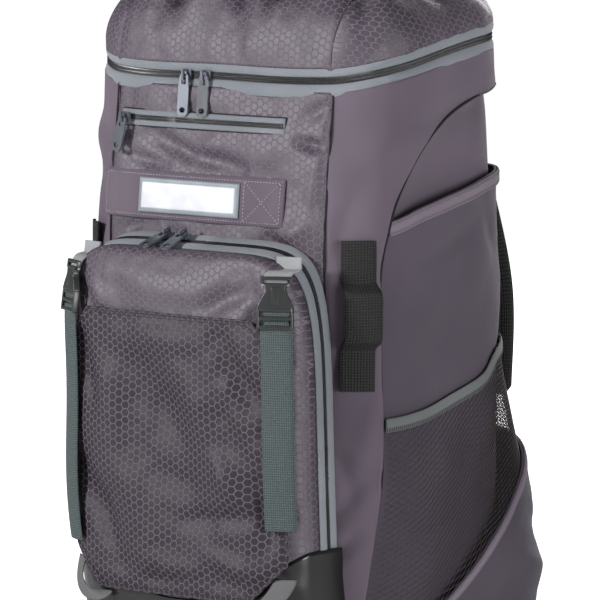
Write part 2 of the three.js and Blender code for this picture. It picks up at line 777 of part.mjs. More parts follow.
function flap() {
  return wall(12, FLAP_HEIGHTS.length - 1, (u, v, side) => {
    const share = FLAP_HEIGHTS[Math.round(v * (FLAP_HEIGHTS.length - 1))];
    const z = lerp(FLAP_BOTTOM, FLAP_TOP, share);
    const bent = Math.sign(u - 0.5) * Math.abs(2 * u - 1) ** 0.8;
    const point = pocketPoint(bent * flapHalf(z), z, 0);
    point.y -= flapOut(z) + FLAP_THICKNESS * (1 - side);
    return point;
  });
}

// The place, the ways across and up, and the way out of the pocket's front, measured over a webbing's width
function pocketFrame(x, z, length = WEBBING_WIDTH) {
  const half = WEBBING_WIDTH / 6;
  const across = pocketPoint(x + half, z, 0).sub(pocketPoint(x - half, z, 0)).normalize();
  const up = pocketPoint(x, z + length / 2, 0).sub(pocketPoint(x, z - length / 2, 0));
  up.addScaledVector(across, -up.dot(across)).normalize();
  return { place: pocketPoint(x, z, 0), across, up, out: new THREE.Vector3().crossVectors(across, up) };
}

// Webbing laid down the pocket's front at x, standing off its surface by lift(z)
function frontWebbing(x, low, high, rows, lift) {
  return wall(3, rows, (u, v, side) => {
    const z = lerp(low, high, v);
    const { place, across, out } = pocketFrame(x, z);
    const edge = pocketPoint(place.x + (u - 0.5) * WEBBING_WIDTH * across.x, z, 0);
    return edge.addScaledVector(out, lift(z) + WEBBING * (1 - side));
  });
}

// A small part built flat and then set on the pocket's front: x across, y up and z out of the surface
function placedOnPocket(mesh, frame, off) {
  mesh.quaternion.setFromRotationMatrix(new THREE.Matrix4().makeBasis(frame.across, frame.up, frame.out));
  mesh.position.copy(frame.place).addScaledVector(frame.out, off);
  return mesh;
}

function extruded(shape, depth, segments = 4) {
  const geometry = new THREE.ExtrudeGeometry(shape, { depth, bevelEnabled: false, curveSegments: segments });
  geometry.translate(0, 0, -depth / 2);
  return geometry;
}

function rectangle(target, left, low, width, height) {
  target.moveTo(left, low);
  target.lineTo(left + width, low);
  target.lineTo(left + width, low + height);
  target.lineTo(left, low + height);
  target.closePath();
  return target;
}

// Buckle plug: a bar that the upper webbing loops round, and a neck that enters the socket
function buckleParts() {
  const half = BUCKLE_WIDTH / 2;
  const barHeight = 9;
  const plug = new THREE.Shape();
  plug.moveTo(-NECK_WIDTH / 2, -PLUG_LENGTH);
  plug.lineTo(NECK_WIDTH / 2, -PLUG_LENGTH);
  plug.lineTo(NECK_WIDTH / 2, -barHeight - 1);
  plug.lineTo(half - 1, -barHeight + 1);
  plug.lineTo(half, 0);
  plug.lineTo(-half, 0);
  plug.lineTo(-half + 1, -barHeight + 1);
  plug.lineTo(-NECK_WIDTH / 2, -barHeight - 1);
  plug.closePath();
  plug.holes.push(rectangle(new THREE.Path(), -half + 2.4, -6, BUCKLE_WIDTH - 4.8, 3.4));
  const top = -PLUG_LENGTH - GAP;
  const foot = -BUCKLE_LENGTH;
  const socket = new THREE.Shape();
  socket.moveTo(-half, foot);
  socket.lineTo(half, foot);
  socket.lineTo(half, top - 4);
  socket.quadraticCurveTo(half, top, half - 4, top);
  socket.lineTo(-half + 4, top);
  socket.quadraticCurveTo(-half, top, -half, top - 4);
  socket.closePath();
  const slot = (LADDER_LENGTH - 9) / 2;
  [foot + 3, foot + 6 + slot].forEach((low) => {
    socket.holes.push(rectangle(new THREE.Path(), -half + 3, low, BUCKLE_WIDTH - 6, slot));
  });
  return {
    plug: extruded(plug, BUCKLE_THICKNESS * 0.55).translate(0, BUCKLE_LENGTH / 2, 0),
    socket: extruded(socket, BUCKLE_THICKNESS).translate(0, BUCKLE_LENGTH / 2, 0),
  };
}

// Slider: a plate over the chain with a bridge, whose window holds the pull's crossbar.
// Local x runs along the chain, y down the cloth and z out of it; the crossbar's middle is the local origin.
const barLevel = SLIDER_BASE + BRIDGE_WINDOW / 2;

function sliderGeometry() {
  const plate = new THREE.BoxGeometry(SLIDER_LENGTH, SLIDER_WIDTH, SLIDER_BASE);
  plate.translate(0, 0, SLIDER_BASE / 2 - barLevel);
  const arch = new THREE.Shape();
  const archHeight = SLIDER_BASE / 2 + BRIDGE_WINDOW + BRIDGE_BAR;
  rectangle(arch, -BRIDGE_LENGTH / 2, SLIDER_BASE / 2, BRIDGE_LENGTH, archHeight);
  const window = BRIDGE_LENGTH - 2 * BRIDGE_BAR;
  arch.holes.push(rectangle(new THREE.Path(), -window / 2, SLIDER_BASE, window, BRIDGE_WINDOW));
  const bridge = extruded(arch, BRIDGE_WIDTH);
  bridge.rotateX(Math.PI / 2);
  bridge.rotateZ(Math.PI / 2);
  bridge.translate(0, 0, -barLevel);
  return geometryOf(solidOf(plate).add(solidOf(bridge)));
}

// Pull: a crossbar in the slider's window, two arms round the bridge and a tab with an oval hole
function pullGeometry(length) {
  const eye = EYE_WIDTH / 2;
  const half = PULL_WIDTH / 2;
  const bar = PULL_THICKNESS / 2;
  const shape = new THREE.Shape();
  shape.moveTo(-eye + 1.5, -bar);
  shape.lineTo(eye - 1.5, -bar);
  shape.lineTo(eye, 1);
  shape.lineTo(half, EYE_LENGTH + 4);
  shape.lineTo(half, length - 4);
  shape.absarc(half - 4, length - 4, 4, 0, Math.PI / 2, false);
  shape.absarc(-half + 4, length - 4, 4, Math.PI / 2, Math.PI, false);
  shape.lineTo(-half, EYE_LENGTH + 4);
  shape.lineTo(-eye, 1);
  shape.closePath();
  shape.holes.push(rectangle(new THREE.Path(), -eye + EYE_ARM, bar, EYE_WIDTH - 2 * EYE_ARM, EYE_LENGTH - bar));
  const hole = new THREE.Path();
  hole.absellipse(0, length - 5, half - 2.2, 2.4, 0, 2 * Math.PI, true);
  shape.holes.push(hole);
  return extruded(shape, PULL_THICKNESS, 3);
}

const group = new THREE.Group();

const MATERIALS = {
  hexCloth: { color: 0x7a6f7c, roughness: 0.62, metalness: 0 },
  plainCloth: { color: 0x6b6170, roughness: 0.82, metalness: 0 },
  boot: { color: 0x1b1c1b, roughness: 0.28, metalness: 0 },
  tape: { color: 0x6f7678, roughness: 0.85, metalness: 0 },
  chain: { color: 0x3b3a3c, roughness: 0.45, metalness: 0 },
  metal: { color: 0x8a8e96, roughness: 0.3, metalness: 1 },
  webbing: { color: 0x5a6264, roughness: 0.85, metalness: 0 },
  lightWebbing: { color: 0x98999c, roughness: 0.8, metalness: 0 },
  black: { color: 0x242424, roughness: 0.9, metalness: 0 },
  plastic: { color: 0x3c3e3e, roughness: 0.4, metalness: 0 },
  badge: { color: 0xe4e5e8, roughness: 0.5, metalness: 0 },
};

const materials = Object.fromEntries(
  Object.entries(MATERIALS).map(([name, look]) => [name, new THREE.MeshStandardMaterial(look)]),
);

function add(name, geometry, material) {
  const mesh = new THREE.Mesh(geometry, materials[material]);
  mesh.name = name;
  group.add(mesh);
  return mesh;
}

// A piece on the +X side and its mirror image
function addPair(name, columns, rows, sheet, material) {
  add(`${name}_right`, wall(columns, rows, sheet), material);
  add(`${name}_left`, wall(columns, rows, mirrored(sheet)), material);
}

add('front_panel', frontPanel(), 'hexCloth');
addPair('side_panel', 8, 12, sideSheet, 'plainCloth');
add('back_panel', backPanel(), 'plainCloth');
add('base', base(), 'boot');

const wholeLid = lid();
const lidSeam = LID_CENTRE_WIDTH / 2;
add('lid_centre', lidPanel(wholeLid, -lidSeam + GAP / 2, lidSeam - GAP / 2), 'hexCloth');
add('lid_side_right', lidPanel(wholeLid, lidSeam + GAP / 2, BODY_WIDTH), 'hexCloth');
add('lid_side_left', lidPanel(wholeLid, -BODY_WIDTH, -lidSeam - GAP / 2), 'hexCloth');

// The tapes lie behind the cloth's edges and the chain on them
const tapeOut = -UNDER_SEAM - LAYER_GAP;
const tapeHalf = ZIP_OPENING / 2 + ZIP_LAP;
const chainOut = tapeOut + GAP + CHAIN_THICKNESS;
const zipEnd = backAngle(BACK_PANEL_WIDTH / 2, ZIP_HEIGHT) - 1;
const zipSpan = [-180 - zipEnd, zipEnd];
add('top_zip_tape', wall(34, 1, zipSheet(tapeHalf, tapeOut, TAPE, ...zipSpan)), 'tape');
add('top_zip_chain', wall(34, 1, zipSheet(CHAIN_WIDTH / 2, chainOut, CHAIN_THICKNESS, ...zipSpan)), 'chain');

// A slider and its pull. frame gives the place on the chain, the way along it, down the cloth and out of it.
function addZipPull(name, frame, length, tilt, turn = 0) {
  const basis = new THREE.Matrix4().makeBasis(frame.along, frame.down, frame.out);
  const origin = frame.place.clone().addScaledVector(frame.out, GAP + barLevel);
  const slider = add(name.replace('#', 'slider'), sliderGeometry(), 'metal');
  slider.quaternion.setFromRotationMatrix(basis);
  slider.position.copy(origin);
  const holder = new THREE.Group();
  holder.quaternion.setFromRotationMatrix(basis);
  holder.position.copy(origin);
  const turner = new THREE.Group();
  turner.rotation.z = radians(turn);
  const pull = add(name.replace('#', 'pull'), pullGeometry(length), 'metal');
  pull.rotation.x = radians(tilt);
  turner.add(pull);
  holder.add(turner);
  group.add(holder);
}

function frontFrame(x, z, out) {
  const place = frontPoint(x, z, out);
  const along = frontPoint(x + 1, z, out).sub(frontPoint(x - 1, z, out)).normalize();
  const down = new THREE.Vector3(0, 0, -1);
  return { place, along: along.negate(), down, out: new THREE.Vector3().crossVectors(along, down) };
}

[['left', -1], ['right', 1]].forEach(([side, sign]) => {
  const x = TOP_PULL_CENTRE + sign * TOP_PULL_SPACING / 2;
  addZipPull(`top_#_${side}`, frontFrame(x, ZIP_HEIGHT, chainOut), TOP_PULL_LENGTH, TOP_PULL_TILT);
});

// Chest zip
const chestRight = CHEST_ZIP_LEFT + CHEST_ZIP_LENGTH;
const chestLow = CHEST_ZIP_HEIGHT - CHEST_TAPE_WIDTH / 2;
const chestHigh = CHEST_ZIP_HEIGHT + CHEST_TAPE_WIDTH / 2;
const chestChainOut = LAYER_GAP + GAP + TAPE;
const chestChain = frontPatch(CHEST_ZIP_LEFT + 2, chestRight - 2, CHEST_ZIP_HEIGHT - CHAIN_WIDTH / 2,
  CHEST_ZIP_HEIGHT + CHAIN_WIDTH / 2, chestChainOut, CHAIN_THICKNESS, 8);
add('chest_zip_tape', frontPatch(CHEST_ZIP_LEFT, chestRight, chestLow, chestHigh, LAYER_GAP, TAPE, 8), 'tape');
add('chest_zip_chain', chestChain, 'chain');
const chestFrame = frontFrame(CHEST_ZIP_LEFT + 8, CHEST_ZIP_HEIGHT, chestChainOut + CHAIN_THICKNESS);
addZipPull('chest_#', chestFrame, CHEST_PULL_LENGTH, CHEST_PULL_TILT, CHEST_PULL_TURN);

// Label strip with a blank badge
const labelRight = LABEL_LEFT + LABEL_LENGTH;
const labelTop = LABEL_BOTTOM + LABEL_HEIGHT;
const badgeLow = LABEL_BOTTOM + (LABEL_HEIGHT - BADGE_HEIGHT) / 2;
const labelPatch = frontPatch(LABEL_LEFT, labelRight, LABEL_BOTTOM, labelTop, LAYER_GAP, CLOTH, 8);
add('label_strip', labelPatch, 'plainCloth');
add('badge', frontPatch(BADGE_LEFT, BADGE_LEFT + BADGE_LENGTH, badgeLow, badgeLow + BADGE_HEIGHT,
  LAYER_GAP + CLOTH + GAP, BADGE_THICKNESS, 4), 'badge');

// Front pocket
const tapeSheet = (u, v, side) => pocketWallPoint(u, v, -side * TAPE);
const chainShare = CHAIN_WIDTH / POCKET_WALL_DEPTH / 2;
const pocketChainSheet = (u, v, side) => {
  const lift = 0.5 + lerp(-chainShare, chainShare, v);
  return pocketWallPoint(u, lift, GAP + CHAIN_THICKNESS * (1 - side));
};
add('pocket_front', pocketFront(), 'hexCloth');
add('pocket_boot', pocketBoot(), 'boot');
add('pocket_zip_tape', wall(32, 1, tapeSheet), 'tape');
add('pocket_zip_chain', wall(32, 1, pocketChainSheet), 'chain');

function pocketZipFrame(x) {
  const share = (offset) => {
    let low = 0.25;
    let high = 0.75;
    for (let step = 0; step < 24; step += 1) {
      const middle = (low + high) / 2;
      if (pocketWallPoint(middle, 0.5, GAP + CHAIN_THICKNESS).x > x + offset) {
        low = middle;
      } else {
        high = middle;
      }
    }
    return low;
  };
  const surface = (offset, lift) => pocketWallPoint(share(offset), lift, GAP + CHAIN_THICKNESS);
  const place = surface(0, 0.5);
  const along = surface(1, 0.5).sub(surface(-1, 0.5)).normalize();
  const down = surface(0, 0.9).sub(surface(0, 0.1));
  down.addScaledVector(along, -down.dot(along)).normalize();
  const outward = new THREE.Vector3().crossVectors(down, along);
  return { place, along: along.negate(), down, out: outward };
}

[['left', -1, POCKET_PULL_TURN], ['right', 1, 0]].forEach(([side, sign, turn]) => {
  const x = POCKET_PULL_CENTRE + sign * POCKET_PULL_SPACING / 2;
  addZipPull(`pocket_#_${side}`, pocketZipFrame(x), POCKET_PULL_LENGTH, POCKET_PULL_TILT, turn);
});

// Flap and compression straps
add('flap', flap(), 'hexCloth');
const strapLift = FLAP_THICKNESS + 0.8 * LAYER_GAP;
const buckleLift = FLAP_THICKNESS + BUCKLE_THICKNESS / 2;
[['right', 1, RIGHT_TAIL_END], ['left', -1, LEFT_TAIL_END]].forEach(([side, sign, tailEnd]) => {
  const x = sign * STRAP_SPACING / 2;
  const buckle = buckleParts();
  const frame = pocketFrame(x, BUCKLE_TOP - BUCKLE_LENGTH / 2, BUCKLE_LENGTH);
  const upper = frontWebbing(x, BUCKLE_TOP + GAP, STRAP_TOP, 2, () => 1.2 * LAYER_GAP);
  add(`upper_webbing_${side}`, upper, 'lightWebbing');
  placedOnPocket(add(`buckle_plug_${side}`, buckle.plug, 'plastic'), frame, buckleLift);
  placedOnPocket(add(`buckle_socket_${side}`, buckle.socket, 'plastic'), frame, buckleLift);
  const tailTop = BUCKLE_TOP - BUCKLE_LENGTH - GAP;
  const tail = frontWebbing(x, tailEnd, tailTop, 8, (z) => strapLift + flapOut(z));
  add(`strap_tail_${side}`, tail, 'webbing');
});

// Webbing loops on the boot's corners
function bootLoopSheet(u, v, side) {
  const turn = Math.PI * v;
  const across = lerp(LOOP_SPAN / 2 - LOOP_WEBBING, LOOP_SPAN / 2, u);
  const x = LOOP_PLACE + Math.cos(turn) * across;
  const z = lerp(LOOP_TOP, LOOP_TOP - LOOP_DROP, v) - Math.sin(turn) * across * 0.8;
  const off = 2 * LAYER_GAP + LOOP_STAND_OFF * Math.sin(turn) + WEBBING * (1 - side);
  const point = pocketPoint(x, Math.max(z, BOOT_ROUNDING), 0);
  point.z = z;
  point.y -= off;
  return point;
}

addPair('boot_loop', 2, 8, bootLoopSheet, 'webbing');

// Side handle: two sewn ends and a raised middle
function handleSheet(u, v, side) {
  const z = HANDLE_TOP - HANDLE_LENGTH * (1 - v);
  const patch = HANDLE_PATCH / HANDLE_LENGTH;
  const middle = clamp((v - patch) / (1 - 2 * patch), 0, 1);
  const bow = Math.sin(Math.PI * middle) ** 0.6 * HANDLE_STAND_OFF;
  const halfAngle = THREE.MathUtils.radToDeg(WEBBING_WIDTH / BODY_WIDTH);
  const angle = HANDLE_ANGLE + lerp(-halfAngle, halfAngle, u);
  return bodyPoint(angle, z, LAYER_GAP + bow + HANDLE_THICKNESS * (1 - side));
}

addPair('handle', 2, 12, handleSheet, 'black');
addPair('recess_wall', 8, 8, recessSheet, 'plainCloth');
addPair('sleeve_panel', 8, 6, sleeveSheet, 'plainCloth');
addPair('sleeve_band', 8, 1, bandSheet, 'plainCloth');
addPair('mesh_pocket', 10, 5, meshSheet, 'black');
addPair('mesh_binding', 10, 1, meshBindingSheet, 'tape');
addPair('heel_pocket', 10, HEEL_PROFILE.length - 1, heelSheet, 'plainCloth');
addPair('heel_binding', 10, 1, heelBindingSheet, 'plainCloth');

// Back pad, shoulder straps and their webbing
const padShare = (value) => 1 - Math.abs(2 * value - 1) ** 6;

function padOut(x, z) {
  const round = clamp(padShare(x / PAD_WIDTH + 0.5) * padShare((z - PAD_BOTTOM) / (PAD_TOP - PAD_BOTTOM)), 0, 1);
  return GAP + PAD_EDGE + (PAD_THICKNESS - PAD_EDGE) * round ** 0.5;
}

add('back_pad', wall(6, 6, (u, v, side) => {
  const x = lerp(-0.5, 0.5, u) * PAD_WIDTH;
  const z = lerp(PAD_BOTTOM, PAD_TOP, v);
  return backPoint(x, z, side ? LAYER_GAP : LAYER_GAP + padOut(x, z));
}), 'black');

const padHeight = PAD_TOP - PAD_BOTTOM;
const shoulderLow = (z, offset) => backPoint(0, z, 0).y + GAP + offset;

function shoulderMiddle(v) {
  const x = PAD_WIDTH * read(SHOULDER_COURSE, 'across', v);
  const z = PAD_BOTTOM + padHeight * read(SHOULDER_COURSE, 'height', v);
  return new THREE.Vector3(x, shoulderLow(z, PAD_THICKNESS * read(SHOULDER_COURSE, 'off', v)), z);
}

function shoulderSheet(u, v, side) {
  const step = 0.02;
  const middle = shoulderMiddle(v);
  const way = shoulderMiddle(Math.min(v + step, 1)).sub(shoulderMiddle(Math.max(v - step, 0))).normalize();
  const across = new THREE.Vector3(way.z, 0, -way.x).normalize();
  const edge = 1 - Math.abs(2 * u - 1) ** 4 * 0.6;
  const point = middle.addScaledVector(across, (u - 0.5) * SHOULDER_WIDTH);
  point.y += SHOULDER_THICKNESS / 2 * (1 + (side ? -edge : edge));
  return point;
}

function shoulderWebbingSheet(u, v, side) {
  const start = shoulderMiddle(1);
  const z = lerp(PAD_BOTTOM - SHOULDER_LAP, start.z + SHOULDER_LAP, v);
  const x = lerp(start.x - SHOULDER_LAP / 2, start.x, v) + (u - 0.5) * WEBBING_WIDTH;
  const foot = shoulderLow(z, PAD_EDGE);
  const y = lerp(foot, start.y - GAP - WEBBING, THREE.MathUtils.smoothstep(v, -0.1, 0.5));
  return new THREE.Vector3(x, y + WEBBING * (1 - side), z);
}

addPair('shoulder_strap', 4, 12, shoulderSheet, 'black');
addPair('shoulder_webbing', 1, 6, shoulderWebbingSheet, 'black');

export default group;
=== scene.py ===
import math

import bpy
import numpy as np
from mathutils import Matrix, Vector


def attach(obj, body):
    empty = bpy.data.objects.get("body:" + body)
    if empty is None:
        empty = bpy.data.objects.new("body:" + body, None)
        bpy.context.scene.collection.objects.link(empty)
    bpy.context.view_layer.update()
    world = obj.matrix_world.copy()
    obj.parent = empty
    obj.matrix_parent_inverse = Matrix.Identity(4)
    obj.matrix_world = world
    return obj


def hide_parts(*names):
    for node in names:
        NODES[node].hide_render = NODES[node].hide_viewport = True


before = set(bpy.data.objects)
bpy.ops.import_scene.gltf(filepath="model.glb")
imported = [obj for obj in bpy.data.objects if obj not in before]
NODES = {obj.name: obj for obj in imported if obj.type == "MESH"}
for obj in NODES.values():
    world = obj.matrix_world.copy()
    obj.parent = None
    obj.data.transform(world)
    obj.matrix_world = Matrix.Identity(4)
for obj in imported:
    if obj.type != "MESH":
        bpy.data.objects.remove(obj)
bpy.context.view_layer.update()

MM = 0.001
SIDES = (("right", 1), ("left", -1))
MIRROR = (-1, 1, 1)
AXIS = (0, -10, 0)  # a place inside the bag, which its pieces face away from
PER_DEGREE = 2.6  # millimetres to a degree round the bag's sides, for folds and noise there

# ---- Sizes in millimetres, as in the CAD source
BODY_WIDTH, BODY_DEPTH, FRONT_SQUARE, BACK_SQUARE = 312, 210, 4, 3.2
ZIP_HEIGHT, ZIP_RISE, LID_TOP, LID_ROUND = 440, 32, 535, 2.2
FRONT_WIDTH, BACK_WIDTH, LID_CENTRE = 222, 226, 218
CLOTH, GAP, LAYER, BASE_LIP = 1.6, 0.35, 0.8, 14
ZIP_OPENING, ZIP_LAP = 18.5, 5
UNDER = CLOTH + 1.5 * LAYER
POCKET_WIDTH, POCKET_TOP, POCKET_CENTRE, POCKET_CROWN, POCKET_WALL = 238, 307, 120, 25, 27
BOOT_SIDE, BOOT_MIDDLE, BOOT_FLOOR, BOOT_ROUND = 77, 32, 2, 12
FLAP_WIDTH, FLAP_TOP, FLAP_BOTTOM = 216, 257, 36
WEBBING = 25
RECESS_TOP, HEEL_BULGE = 436, 30

BODY_SECTIONS = [
    (0, 0.475, 0.475, 0.445), (0.15, 0.492, 0.502, 0.457), (0.5, 0.5, 0.535, 0.462), (0.7, 0.503, 0.556, 0.467),
    (0.85, 0.5, 0.53, 0.467), (1, 0.497, 0.5, 0.467), (1.3, 0.497, 0.49, 0.467),
]
ZIP_COURSE = [(0, 0), (48, 0.02), (66, 0.31), (84, 0.63), (104, 0.88), (140, 1), (180, 1)]
RECESS_SEAM = [
    (0.03, -33), (0.15, -31), (0.3, -28), (0.5, -28.6), (0.67, -29), (0.775, -25.2), (0.832, -21), (0.89, -14),
    (0.94, -3.5), (0.97, 9), (0.985, 22), (1, 39),
]
SIDE_EDGES = [
    (-36, 0.742, 0.402, 0.02), (-25, 0.755, 0.407, 0.02), (-14, 0.777, 0.419, 0.042), (-2, 0.794, 0.442, 0.11),
    (10, 0.81, 0.468, 0.2), (18, 0.822, 0.505, 0.262), (32, 0.83, 0.53, 0.335), (48, 0.83, 0.54, 0.36),
]
BULGE_ROUND = [(-33, 0.02), (-24, 0.12), (-8, 0.36), (10, 0.72), (28, 1), (37, 0.8), (42, 0.4), (45, 0.04)]
BULGE_UP = [(0, 0.72), (0.03, 0.94), (0.09, 1), (0.2, 0.82), (0.3, 0.55), (0.38, 0.32), (0.5, 0.03), (0.7, 0.02)]
SHOULDER_COURSE = [
    (0, 0.25, 1.07, 0), (0.08, 0.26, 1.01, 0.55), (0.2, 0.29, 0.92, 1.2), (0.42, 0.37, 0.76, 1.9),
    (0.66, 0.45, 0.58, 2.05), (1, 0.47, 0.36, 1.5),
]

# ---- Reading, blending and noise
def lerp(a, b, t):
    return a + (b - a) * t


def smooth(value, low, high):
    t = clip((value - low) / (high - low))
    return t * t * (3 - 2 * t)


def read(table, column, at):
    keys = np.array([row[0] for row in table], float)
    values = np.array([row[column] for row in table], float)
    n = len(keys) - 1
    at = np.clip(np.asarray(at, float), keys[0], keys[n])
    i = np.clip(np.searchsorted(keys, at, side="right") - 1, 0, n - 1)
    before = np.maximum(np.arange(n + 1) - 1, 0)
    after = np.minimum(np.arange(n + 1) + 1, n)
    slope = (values[after] - values[before]) / (keys[after] - keys[before])
    span = keys[i + 1] - keys[i]
    t = (at - keys[i]) / span
    bend = t * (1 - t) * span * (slope[i] * (1 - t) - slope[i + 1] * t)
    return lerp(values[i], values[i + 1], t * t * (3 - 2 * t)) + bend


def clip(value):
    return np.clip(value, 0, 1)


def arch(share):
    """0 at both ends of a share and 1 in its middle"""
    return np.sin(math.pi * share)


def unit(vectors):
    return vectors / np.maximum(np.linalg.norm(vectors, axis=-1, keepdims=True), 1e-9)


def lengths(points, axis=0):
    """The length of each line of points up to each of its points"""
    steps = np.linalg.norm(np.diff(points, axis=axis), axis=-1)
    return np.insert(np.cumsum(steps, axis=axis), 0, 0, axis=axis)


def lattice(i, j, seed):
    value = np.sin(i * 127.1 + j * 311.7 + seed * 74.7) * 43758.5453
    return value - np.floor(value)


def noise(a, b, size, seed):
    """Smooth noise from -1 to 1 over two coordinates in millimetres"""
    x, y = np.asarray(a) / size, np.asarray(b) / size
    i, j = np.floor(x), np.floor(y)
    f, g = x - i, y - j
    f, g = f * f * (3 - 2 * f), g * g * (3 - 2 * g)
    low = lerp(lattice(i, j, seed), lattice(i + 1, j, seed), f)
    high = lerp(lattice(i, j + 1, seed), lattice(i + 1, j + 1, seed), f)
    return 2 * lerp(low, high, g) - 1


def rumple(a, b, size, seed):
    """Three sizes of noise together"""
    fine = 0.45 * noise(a, b, size * 0.45, seed + 3) + 0.2 * noise(a, b, size * 0.2, seed + 7)
    return noise(a, b, size, seed) + fine


def creases(a, b, table):
    """Folds from one point to another: (a0, b0, a1, b1, width, height), height below 0 for a valley"""
    total = np.zeros_like(np.asarray(a, float) + np.asarray(b, float))
    for a0, b0, a1, b1, width, height in table:
        da, db = a1 - a0, b1 - b0
        t = clip(((a - a0) * da + (b - b0) * db) / (da * da + db * db))
        distance = np.hypot(a - a0 - t * da, b - b0 - t * db)
        total = total + height * (0.55 + 0.45 * arch(t)) * np.exp(-((distance / width) ** 2))
    return total


# ---- The body's skin
def stack(x, y, z):
    return np.stack(np.broadcast_arrays(*(np.asarray(value, float) for value in (x, y, z))), -1)


def body_half(column, height, out):
    size = BODY_WIDTH if column == 1 else BODY_DEPTH
    return size * read(BODY_SECTIONS, column, height / ZIP_HEIGHT) + out


def body_point(angle, height, out):
    angle, height, out = np.moveaxis(stack(angle, height, out), -1, 0)
    across, along = np.cos(np.radians(angle)), np.sin(np.radians(angle))
    depth = np.where(along < 0, body_half(2, height, out), body_half(3, height, out))
    square = np.where(along < 0, FRONT_SQUARE, BACK_SQUARE)
    total = np.abs(across / body_half(1, height, out)) ** square + np.abs(along / depth) ** square
    reach = total ** (-1 / square)
    return stack(reach * across, reach * along, height)


def reach_at(column, x, height, out):
    share = clip(np.abs(x) / body_half(1, height, out))
    square = FRONT_SQUARE if column == 2 else BACK_SQUARE
    return body_half(column, height, out) * (1 - share ** square) ** (1 / square)


def front_point(x, height, out):
    return stack(x, -reach_at(2, x, height, out), height)


def back_point(x, height, out):
    return stack(x, reach_at(3, x, height, out), height)


def front_angle(x, height):
    return np.degrees(np.arctan2(-reach_at(2, x, height, 0), x))


def back_angle(x, height):
    return np.degrees(np.arctan2(reach_at(3, x, height, 0), x))


def zip_height(angle):
    from_front = np.abs((np.asarray(angle, float) + 270) % 360 - 180)
    return ZIP_HEIGHT + ZIP_RISE * read(ZIP_COURSE, 1, from_front)


def body_top(angle):
    return zip_height(angle) - ZIP_OPENING / 2


def lid_bottom(angle):
    return zip_height(angle) + ZIP_OPENING / 2


DENSE = np.linspace(-180, 180, 1441)
DENSE_TURN = lengths(body_point(DENSE, 250, 0))


def between(start, end, share):
    """The angle at a share of the way round the skin between two angles"""
    first, last = np.interp(start, DENSE, DENSE_TURN), np.interp(end, DENSE, DENSE_TURN)
    return np.interp(lerp(first, last, share), DENSE_TURN, DENSE)


PANEL_BOTTOM = BASE_LIP + GAP
FRONT_SEAM = front_angle(FRONT_WIDTH / 2, ZIP_HEIGHT)
BACK_SEAM = back_angle(BACK_WIDTH / 2, ZIP_HEIGHT)


# ---- Meshes
# A sheet's flat size: the mesh's own with some to spare, and the least width and share of it that a sheet may have
SPARE, CLOSING_SPARE, LEAST_WIDTH, LEAST_SHARE = 1.02, 1.08, 0.0101, 0.32


def link(name, mesh, material, slot, node=None):
    piece = bpy.data.objects.new(name, mesh)
    bpy.context.scene.collection.objects.link(piece)
    mesh.materials.append(material)
    mesh.polygons.foreach_set("use_smooth", [True] * len(mesh.polygons))
    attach(piece, "bag")
    if node:
        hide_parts(node)
    return piece


def quads(columns, rows, around=False):
    i, j = np.meshgrid(np.arange(columns if around else columns - 1), np.arange(rows - 1), indexing="ij")
    k = (i + 1) % columns
    return np.stack([i * rows + j, k * rows + j, k * rows + j + 1, i * rows + j + 1], -1).reshape(-1, 4).tolist()


def flat(a, b):
    """Places on the flat cloth, for a UV"""
    return np.stack(np.broadcast_arrays(a, b), -1)


def mesh_of(name, points, faces, uv=None):
    mesh = bpy.data.meshes.new(name)
    mesh.from_pydata((np.reshape(points, (-1, 3)) * MM).tolist(), [], faces)
    if uv is not None:
        layer = mesh.uv_layers.new(name="UVMap")
        index = np.zeros(len(mesh.loops), dtype=np.int32)
        mesh.loops.foreach_get("vertex_index", index)
        layer.data.foreach_set("uv", uv.reshape(-1, 2)[index].ravel())
    return mesh


def cloth(name, points, material, slot, node=None, thick=CLOTH, around=False, held="stretched", on=None, uv=None,
          rim=False, pad=None):
    """A sheet of cloth whose outer face is a grid of points, thickened inwards, with its UV in millimetres"""
    middle = AXIS + np.array([0, 0, points[..., 2].mean()])
    normals = unit(np.cross(np.gradient(points, axis=0), np.gradient(points, axis=1)))
    if (normals * (points - middle)).sum(-1).mean() < 0:
        points = points[::-1]
        uv = None if uv is None else uv[::-1]
    along, up = lengths(points, 0), lengths(points, 1)
    if uv is None:
        uv = flat(along, up)
    mesh = mesh_of(name, points, quads(*points.shape[:2], around), uv)
    mesh.update()
    piece = link(name, mesh, material, slot, node)
    shell = piece.modifiers.new("thickness", "SOLIDIFY")
    shell.thickness = thick * MM
    shell.offset = -1
    shell.use_rim_only = rim
    if pad is not None:
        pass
    elif on:
        area = sum(face.area for face in mesh.polygons)
        width = along.max() * MM * (CLOSING_SPARE if around else SPARE)
        length = max(up.max() * MM * SPARE, LEAST_WIDTH)
        width = min(width, area / (LEAST_SHARE * length))
    return piece


def both(name, points, *rest, **options):
    """A piece on the right and its mirror image on the left; # in names stands for the side"""
    for side, sign in SIDES:
        named = {key: value.replace("#", side) if isinstance(value, str) else value for key, value in options.items()}
        cloth(name.replace("#", side), points * (sign, 1, 1), *rest, **named)


def grid(columns, rows):
    return np.meshgrid(np.linspace(0, 1, columns), np.linspace(0, 1, rows), indexing="ij")


def outwards(points):
    """The level direction away from the bag's middle at each point"""
    return (points - AXIS) * (1, 1, 0)


